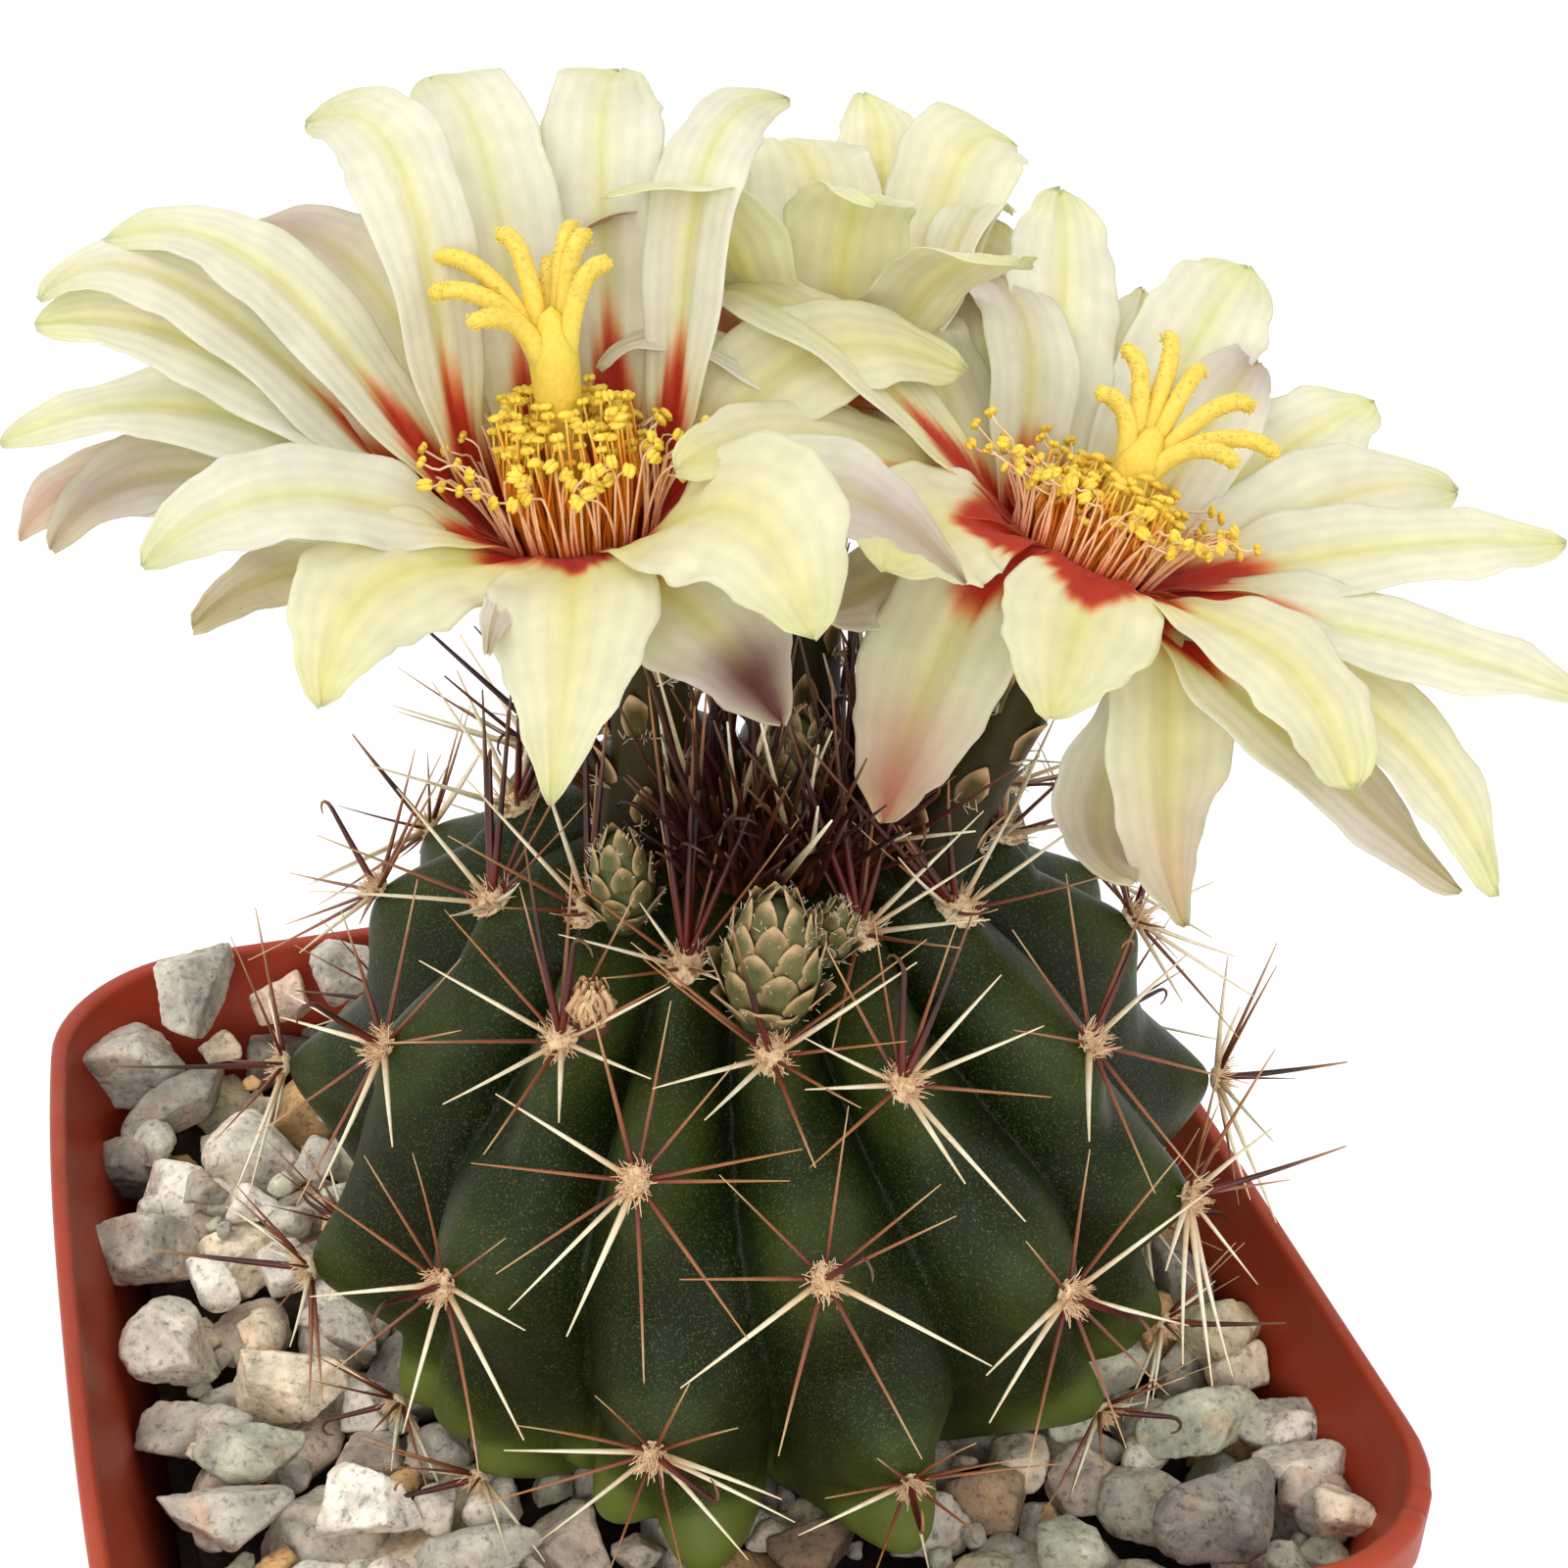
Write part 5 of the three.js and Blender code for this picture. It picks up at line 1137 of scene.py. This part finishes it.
def build_flower(fi):
    f = FLOWERS[fi]
    F = FlowerFrame(f)
    name = ("left", "right", "rear")[fi]
    rng = np.random.default_rng(70 + fi)
    # petals
    for which, label in (("i", "inner"), ("o", "outer")):
        s = Soup()
        for row in f["pet"]:
            if row[1] == which:
                add_petal(s, F, row, rng, fi)
        if which == "i":
            prof = [(5.5, -2.5), (4.9, -4.0), (4.1, -6.0), (3.0, -9.0), (2.2, -11.2), (2.6, -11.2), (3.4, -9.0), (4.6, -6.0), (5.4, -4.0), (5.8, -2.7)]
            # painted shade: on the inside of the funnel the throat red is darkened step by step with depth (THROAT *
            # 0.9 down to THROAT * 0.5)
            cols = [THROAT, THROAT * 0.9, THROAT * 0.8, THROAT * 0.6, THROAT * 0.5, THROAT * 0.5, ORANGE, ORANGE, ORANGE, THROAT]
        else:
            prof = [(5.6, -3.6), (5.1, -5.9), (5.4, -5.9), (6.0, -3.8)]
            cols = [THROAT, ORANGE, lin(140, 140, 72), lin(190, 150, 90)]
        collar(s, F, prof, cols, 64, 0.02)
        AVOID.append(np.vstack(s.v))
        o = s.make("%s_%s_petals" % (name, label), m_petal)
        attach(o, "root")
        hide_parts("%s_flower_%s_petals" % (name, label))
    # stamens
    s = Soup()
    ANTH, ANTH2 = lin(247, 216, 80), lin(240, 194, 52)
    FIN, FOUT, FBASE = lin(238, 140, 24), lin(244, 196, 160), lin(205, 60, 30)
    n_in, n_mid, n_out = (110, 60, 84) if fi < 2 else (90, 30, 34)
    for k in range(n_in + n_mid + n_out):
        a = rng.random() * 6.283
        if k < n_in:
            # the upright basket round the style
            a = k * 6.283 / n_in + rng.normal() * 0.04
            top_h = (2.6 + 3.8 * rng.random()) + DROP[fi]
            top_r = 3.4 + 2.0 * rng.random()
            da = rng.normal() * 0.16
            pts = [F.at(2.9, a, -6.5), F.at(3.5 + 0.2 * rng.random(), a, -2.4), F.at(4.3 + 0.25 * rng.random(), a + da * 0.4, 0.3), F.at(top_r * 0.5 + 2.3, a + da * 0.8, top_h - 1.4), F.at(top_r - 0.3 * rng.random(), a + da, top_h)]
            cc = (lin(200, 62, 8), lin(232, 122, 8), lin(250, 212, 80))
            rad = 0.125
        elif k < n_in + n_mid:
            # shorter ones between the basket and the style
            r0 = 2.2 + 0.8 * rng.random()
            tr, th = 1.7 + 2.4 * rng.random(), 4.0 + 3.0 * rng.random() + DROP[fi]
            da = rng.normal() * 0.25
            pts = [F.at(r0, a, -6.0), F.at(r0 + 0.5, a, -0.5), F.at((r0 + tr) / 2 + 0.3, a + da * 0.5, th * 0.5), F.at(tr, a + da, th)]
            cc = (FBASE, lin(226, 122, 12), lin(246, 206, 90))
            rad = 0.12
        else:
            # the long ones that lie out over the petals
            a = (k - n_in - n_mid) * 6.283 / n_out + rng.normal() * 0.10
            r0, h0 = 4.7 + 0.3 * rng.random(), -2.9
            tr, th = 6.4 + 4.4 * rng.random(), 1.8 + 3.4 * rng.random() + 0.4 * DROP[fi]
            front = max(0.0, float(-FWD @ (math.cos(a) * F.e1 + math.sin(a) * F.e2)))
            tr, th = tr * (1 - 0.28 * front), th * (1 - 0.35 * front)
            if fi == 2:
                tr, th = min(tr, 6.6), max(0.6, 0.6 * th)
            da = rng.normal() * 0.18
            up = 0.3 + 0.5 * rng.random()
            pts = [F.at(r0, a, h0), F.at(r0 + 0.5, a, h0 + 1.6), F.at((r0 + tr) / 2, a + da * 0.4, th * up + 0.2), F.at(tr - 0.9, a + da, th * 0.85), F.at(tr, a + da * 1.3, th)]
            cc = (FBASE, lin(244, 190, 140), lin(250, 224, 180))
            rad = 0.11
        pts = A(pts)
        # smooth through the points
        kk = len(pts)
        x = np.linspace(0, kk - 1, 12)
        i0 = np.clip(x.astype(int), 0, kk - 2)
        fr = x - i0
        pm = pts[np.maximum(i0 - 1, 0)]
        p0, p1, p2 = pts[i0], pts[i0 + 1], pts[np.minimum(i0 + 2, kk - 1)]
        fr = fr[:, None]
        sm = 0.5 * (2 * p0 + (p1 - pm) * fr + (2 * pm - 5 * p0 + 4 * p1 - p2) * fr ** 2 + (3 * p0 - pm - 3 * p1 + p2) * fr ** 3)
        w = np.linspace(0, 1, 12)
        c = mixc(mixc(cc[0], cc[1], smooth01(w / 0.35)), cc[2], smooth01((w - 0.5) / 0.5))
        tube(s, sm, rad * (1 - 0.35 * w), 5, c)
        e = sm[-1]
        td = unit(sm[-1] - sm[-2])
        sd = unit(np.cross(td, rng.normal(size=3)))
        ud = np.cross(td, sd)
        L = 0.42 + 0.10 * rng.random()
        ac = mixc(ANTH, ANTH2, rng.random() * 0.8)
        blob(s, e + sd * 0.16, A([sd * 0.24, ud * L, td * 0.24]), ac, 2, 0.16, rng)
        blob(s, e - sd * 0.16, A([sd * 0.24, ud * L * 0.95, td * 0.24]), ac * 0.96, 2, 0.16, rng)
    o = s.make(name + "_stamen_bunch", m_stamen)
    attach(o, "root")
    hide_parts(name + "_flower_stamens")
    # pistil
    s = Soup()
    ST, ST2 = lin(236, 206, 88), lin(226, 190, 66)
    LB = LOBES[fi]
    sink = F.ax * (4.5 if fi == 2 else 0.0)
    split = A(LB["split"]) - sink
    root = F.at(0, 0, -9.0)
    foot = A(LB["foot"]) - sink
    pth = bez([root, root + (foot - root) * 0.5, foot + (foot - root) * 0.1, split], np.linspace(0, 1, 22))
    w = np.linspace(0, 1, 22)
    rr = 1.0 + 0.50 * w + 0.20 * smooth01((w - 0.5) / 0.3) - 0.95 * smooth01((w - 0.86) / 0.14)
    t_, s_, n_ = frames_along(pth)
    tube(s, pth, rr, 20, mixc(lin(214, 164, 40), lin(234, 204, 78), w))
    for lobe in LB["tips"]:
        tip = A(lobe) - sink
        d0 = unit(split - pth[-4])
        ln = np.linalg.norm(tip - split)
        side = unit(tip - split - d0 * d0.dot(tip - split))
        rootp = split - d0 * 4.2 + side * 0.75
        pts = bez([rootp, rootp + d0 * 4.4 + side * 0.3, tip + d0 * ln * (0.05 + 0.12 * rng.random()) - side * ln * 0.32, tip], np.linspace(0, 1, 18))
        ww = np.linspace(0, 1, 18)
        rl = 0.66 + 0.05 * np.sin(ww * 3.1) - 0.15 * ww
        rl[-1] = 0.36
        k0 = s.n
        tube(s, pts, rl, 12, mixc(ST, ST2, 0.3 * ww))
        # papillae
        tt, s1, n1 = frames_along(pts)
        for _ in range(110):
            q = rng.integers(8, 18)
            an = rng.random() * 6.283
            dirv = s1[q] * math.cos(an) + n1[q] * math.sin(an)
            cpt = pts[q] + (pts[min(q + 1, 17)] - pts[q]) * rng.random() + dirv * rl[q] * 0.98
            blob(s, cpt, A([dirv * 0.10, np.cross(dirv, tt[q]) * 0.09, tt[q] * 0.09]), ST * (1.0 + 0.06 * rng.random()), 0)
    o = s.make(name + "_style", m_stigma)
    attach(o, "root")
    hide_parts(name + "_flower_pistil")
    # floral tube
    s = Soup()
    L = F.len
    hs = np.linspace(-L, -5.0, 26)
    w = (hs + L) / (L - 5.0)
    rads = 2.75 - 0.25 * np.sin(w * math.pi) + 0.5 * smooth01((w - 0.45) / 0.4) + 2.2 * smooth01((w - 0.72) / 0.28) ** 1.3
    prof = [(0.05, -L)] + [(float(r), float(h)) for r, h in zip(rads, hs)] + [(float(rads[-1]) - 0.5, -5.0), (2.9, -9.0), (2.0, -12.0), (0.05, -12.4)]
    G1, G2 = lin(34, 30, 8), lin(60, 52, 14)
    cols = [G1] + [mixc(G1, G2, float(x)) for x in w] + [ORANGE, THROAT, THROAT, THROAT]
    collar(s, F, prof, cols, 64, 0.03, None, True)
    ga = 2.39996
    nsc = 15
    for k in range(nsc):
        w0 = 0.10 + 0.86 * k / nsc
        h = -L + (L - 5.0) * w0
        r = float(np.interp(w0, w, rads))
        a = k * ga + fi
        outd = math.cos(a) * F.e1 + math.sin(a) * F.e2
        size = 2.4 + 1.8 * w0
        leaf_scale(s, F.c + F.shift(h) + outd * (r - 0.05) + F.ax * h, unit(outd + F.ax * 0.0), F.ax, size, 2.0 + 1.2 * w0, (mixc(G2, lin(88, 72, 30), 0.35), lin(200, 164, 122)), rng, 0.22)
        for _ in range(14):
            b0 = F.c + F.shift(h) + outd * (r + 0.1) + F.ax * (h - 0.1) + np.cross(F.ax, outd) * rng.normal() * 0.6
            tube(s, b0 + np.outer(np.linspace(0, 1, 4) * (0.6 + 0.6 * rng.random()), unit(outd + F.ax * rng.random() + rng.normal(size=3) * 0.5)), A([0.05, 0.045, 0.04, 0.02]), 3, lin(226, 212, 184))
    AVOID.append(np.vstack(s.v[:1]))
    o = s.make(name + "_floral_tube", m_tube)
    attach(o, "root")
    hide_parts(name + "_flower_tube")


for fi in range(3):
    build_flower(fi)


# ------------------------------------------------------------------ buds and remnant
def build_bud(k):
    x, y, z, L, R, lx, ly = BUDS[k]
    rng = np.random.default_rng(30 + k)
    ax = unit(A([lx, ly, 1.0]))
    e1 = unit(np.cross(A([0, 1.0, 0]), ax))
    e2 = np.cross(ax, e1)
    c0 = A([x, y, z])
    s = Soup()
    hs = np.linspace(0, 1, 18)
    rad_f = lambda h: R * (0.60 + 0.40 * smooth01(h / 0.35)) * np.sqrt(np.maximum(0.0, 1 - np.clip((h - 0.30) / 0.72, 0, 1) ** 2.2)) * 0.93
    a = np.arange(28) * 2 * math.pi / 28
    rows = [c0 + (rad_f(h) * np.cos(a))[:, None] * e1 + (rad_f(h) * np.sin(a))[:, None] * e2 + ax * h * L * 0.97 for h in hs]
    v = np.vstack(rows + [c0[None, :], (c0 + ax * L)[None, :]])
    q = grid_quads(len(hs), 28, True)
    kk = len(hs) * 28
    j = np.arange(28)
    jn = (j + 1) % 28
    t = np.vstack([np.stack([np.full(28, kk), jn, j], -1), np.stack([np.full(28, kk + 1), (len(hs) - 1) * 28 + j, (len(hs) - 1) * 28 + jn], -1)])
    s.add(v, q, t, lin(76, 86, 46))
    AVOID.append(v)
    n = 36 if R > 2.5 else 24
    for i in range(n):
        h = 0.02 + 0.93 * (i / n) ** 0.95
        an = i * 2.39996
        outd = math.cos(an) * e1 + math.sin(an) * e2
        slope = (rad_f(min(h + 0.05, 1)) - rad_f(h)) / (0.05 * L)
        upd = unit(ax + outd * float(slope))
        nout = unit(outd - ax * float(slope))
        size = (3.3 - 0.8 * h) * R / 3.0
        wdt = (3.1 - 1.2 * h) * R / 3.0
        root = c0 + outd * (rad_f(h) + 0.03) + ax * h * L * 0.97
        leaf_scale(s, root, nout, upd, size, wdt, (mixc(lin(78, 84, 36), lin(106, 92, 48), rng.random() * 0.7), lin(188, 156, 112)), rng, 0.10, 0.30 * R / 3)
        # woolly fringe
        sd = np.cross(nout, upd)
        for _ in range(7):
            w = rng.random() * 2 - 1
            b0 = root + upd * size * (0.25 + 0.6 * rng.random()) + sd * w * wdt * 0.42 + nout * 0.15
            tube(s, b0 + np.outer(np.linspace(0, 1, 4) * (0.25 + 0.35 * rng.random()), unit(nout * 0.5 + upd * 0.9 + sd * w + rng.normal(size=3) * 0.25)), A([0.035, 0.03, 0.025, 0.012]), 3, lin(236, 226, 204))
    o = s.make("bud_scales_%d" % (k + 1), m_bud)
    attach(o, "root")
    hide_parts("bud_%d" % (k + 1))


for k in range(4):
    build_bud(k)


def build_remnant():
    rng = np.random.default_rng(9)
    s = Soup()
    c0 = A([-10.9, -16.4, 114.4])
    ax = unit(A([-0.1, -0.45, 1.0]))
    blob(s, c0 - ax * 0.4, A([[1.3, 0, 0], [0, 1.2, 0], [0, 0, 0.9]]), lin(92, 50, 34), 3, 0.08, rng)
    e1 = unit(np.cross(A([0, 1.0, 0]), ax))
    e2 = np.cross(ax, e1)
    for i in range(60):
        a = rng.random() * 6.283
        r = 0.2 + 0.7 * rng.random()
        outd = math.cos(a) * e1 + math.sin(a) * e2
        L = 2.4 + 2.8 * rng.random()
        b0 = c0 + outd * r * 0.5
        u = np.linspace(0, 1, 7)
        p = b0 + np.outer(u * L, ax) + np.outer((0.25 * u + 0.5 * np.sin(u * 3.1)) * r * 1.9, outd) + rng.normal(size=(7, 3)) * 0.10
        tube(s, p, (0.30 - 0.16 * u) * (0.8 + 0.5 * rng.random()), 5, mixc(lin(192, 144, 96), lin(238, 204, 160), rng.random()), 0.4)
    o = s.make("dry_flower_tuft", m_dry)
    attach(o, "root")
    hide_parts("dried_flower_remnant")


build_remnant()

from mathutils.kdtree import KDTree
pts = np.vstack(AVOID)
kd = KDTree(len(pts))
for k, p in enumerate(pts):
    kd.insert(p, k)
kd.balance()
KD.append(kd)
for i in range(RIB_N):
    build_spines(i)

# ------------------------------------------------------------------ stones
KIND = {
    "grey": lin(166, 160, 150), "dark": lin(132, 126, 118), "pale": lin(196, 188, 176), "cream": lin(212, 198, 176), "ochre": lin(194, 156, 110), "green": lin(174, 174, 156),
    "greenbeige": lin(172, 162, 136), "white": lin(220, 214, 204), "pink": lin(198, 172, 156), "pinkgrey": lin(176, 162, 150), "darkbrown": lin(112, 94, 78), "brown": lin(152, 130, 106),
}


def stone_into(soup, centre, a, b, h, colour, turn, rng, level=4, tilt=None):
    v, f = ICO[level]
    d = v.copy()
    r = np.ones(len(d))
    ncut = rng.integers(7, 12)
    hard = 48 + 50 * rng.random()
    for _ in range(ncut):
        nrm = unit(rng.normal(size=3))
        k = 0.44 + 0.34 * rng.random()
        qd = d @ nrm
        lim = np.where(qd > 1e-3, k / np.maximum(qd, 1e-3), 9)
        # slightly worn edges between the facets
        r = -np.log(np.exp(-hard * r) + np.exp(-hard * np.minimum(lim, 3))) / hard
    p = d * r[:, None]
    p = p / np.abs(p).max(0)
    p = p * A([a, b, h])
    nz = sine_noise(p, rng, max(a, b) * 1.3, 4, 5)
    nz2 = sine_noise(p, rng, 1.1, 2, 6)
    p = p + d * (nz[:, None] * 0.055 * min(a, b) + nz2[:, None] * 0.10)
    if tilt is None:
        tilt = rng.normal(size=2) * 0.14
    ct, st = math.cos(math.radians(turn)), math.sin(math.radians(turn))
    Rz = A([[ct, -st, 0], [st, ct, 0], [0, 0, 1]])
    cx, sx = math.cos(tilt[0]), math.sin(tilt[0])
    cy, sy = math.cos(tilt[1]), math.sin(tilt[1])
    Rt = A([[1, 0, 0], [0, cx, -sx], [0, sx, cx]]) @ A([[cy, 0, sy], [0, 1, 0], [-sy, 0, cy]])
    p = p @ (Rz @ Rt).T + centre
    vein = sine_noise(p, rng, 3.4, 3, 4)
    tone = 1 + 0.13 * vein
    warm = smooth01((sine_noise(p, rng, 4.5, 2, 4) - 0.25) * 1.6) * rng.random() * 0.35
    c = mixc(np.tile(colour, (len(p), 1)), lin(176, 128, 84), warm) * tone[:, None] * 1.2
    soup.add(p, None, f, c)


for i, (x, y, z, a, b, kind, turn) in enumerate(STONES):
    rng = np.random.default_rng(900 + i)
    s = Soup()
    x -= 0.9 * float(smooth01((-x - 25) / 8))
    stone_into(s, A([x, y, z]), a, b, 0.80 * b, KIND[kind], turn, rng)
    o = s.make("gravel_stone_%02d" % (i + 1), m_stone)
    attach(o, "root")
    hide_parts("stone_%02d" % (i + 1))


def build_gravel():
    rng = np.random.default_rng(77)
    s = Soup()
    soups = []
    placed = [(x, y, z, 0.5 * (a + b)) for (x, y, z, a, b, _, _) in STONES]
    for (x, y, z, a, b, kind, turn) in SMALL:
        stone_into(s, A([x, y, z]), a, b, 0.8 * b, KIND[kind], turn, rng, 3)
        placed.append((x, y, z, 0.5 * (a + b)))
    names = ["grey", "grey", "dark", "pale", "cream", "pale", "ochre", "green", "white", "pinkgrey", "grey", "grey", "pale", "greenbeige"]
    # three passes: bigger stones first, then fillers, then grit
    for (count, lo, hi, zlo, zhi, level) in ((140, 3.2, 5.0, 67.5, 71.5, 3), (150, 2.0, 3.0, 68.5, 72.5, 3), (170, 0.8, 1.6, 69.0, 72.0, 2)):
        tries = 0
        made = 0
        if s.n > 60000:
            soups.append(s)
            s = Soup()
        while made < count and tries < 9000:
            tries += 1
            r = lo + (hi - lo) * rng.random()
            lim = 41.3 - r
            x, y = (rng.random(2) * 2 - 1) * lim
            if abs(x) > lim - 5 and abs(y) > lim - 5 and math.hypot(abs(x) - (lim - 5), abs(y) - (lim - 5)) > 5:
                continue
            heap = 3.0 * smooth01((y + 5 - 0.3 * x) / 60.0)
            z = zlo + (zhi - zlo) * rng.random() + heap
            d = math.hypot(x - SX, y - SY)
            az = math.degrees(math.atan2(y - SY, x - SX))
            if d < float(stem_radius(A([az]), A([max(z, 62)]))[0]) + r * 0.75:
                continue
            ok = True
            for (px, py, pz, pr) in placed:
                dd = (px - x) ** 2 + (py - y) ** 2 + ((pz - z) * 1.25) ** 2
                if dd < ((pr + r) * 0.80) ** 2:
                    ok = False
                    break
            if not ok:
                continue
            placed.append((x, y, z, r))
            made += 1
            kd = names[rng.integers(0, len(names))]
            stone_into(s, A([x, y, z]), r * (1.0 + 0.25 * rng.random()), r * (0.85 + 0.15 * rng.random()), r * (0.65 + 0.2 * rng.random()), KIND[kd] * (0.85 + 0.25 * rng.random()), rng.random() * 180, rng, level)
    soups.append(s)
    for k, part in enumerate(soups):
        o = part.make("gravel_mix_%d" % (k + 1), m_stone)
        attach(o, "root")
        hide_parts("gravel_bed")
    # gritty bed surface under the stones
    g = Soup()
    n = 60
    xs = np.linspace(-1, 1, n)
    X, Y = np.meshgrid(xs, xs, indexing="ij")
    half = wall_at(66) - WALL - 0.3
    # squircle map so that the corners are round
    k = 1 / np.maximum(1e-6, 1 + 0.10 * (X * Y) ** 2 * 1.2)
    px, py = X * half * k, Y * half * k
    rngb = np.random.default_rng(12)
    pz = 67.2 + 0.5 * sine_noise(np.stack([px.ravel(), py.ravel(), 0 * px.ravel()], -1), rngb, 6, 3).reshape(n, n) + 2.4 * smooth01((py + 5 - 0.3 * px) / 60.0)
    topv = np.stack([px, py, pz], -1).reshape(-1, 3)
    botv = topv.copy()
    botv[:, 2] = 62.4
    botv[:, :2] *= (wall_at(62.4) - WALL - 0.3) / half
    q1 = grid_quads(n, n)
    ring = A(list(range(n)) + [i * n + n - 1 for i in range(1, n)] + [(n - 1) * n + j for j in range(n - 2, -1, -1)] + [i * n for i in range(n - 2, 0, -1)])
    nx = np.roll(ring, -1)
    qa = np.vstack([q1, q1[:, ::-1] + n * n, np.stack([ring, ring + n * n, nx + n * n, nx], -1)])
    v = np.vstack([topv, botv])
    a_, b_, c_ = v[qa[0, 0]], v[qa[0, 1]], v[qa[0, 2]]
    if np.cross(b_ - a_, c_ - a_)[2] < 0:
        qa = qa[:, ::-1]
    g.add(v, qa, None, lin(60, 45, 33))
    o2 = g.make("grit_surface", m_soil)
    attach(o2, "root")
    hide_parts("gravel_bed")


build_gravel()

# the potting mix keeps its own solid, with a better material
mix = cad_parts["potting_mix"]
mix.data.materials.clear()
mix.data.materials.append(m_soil)
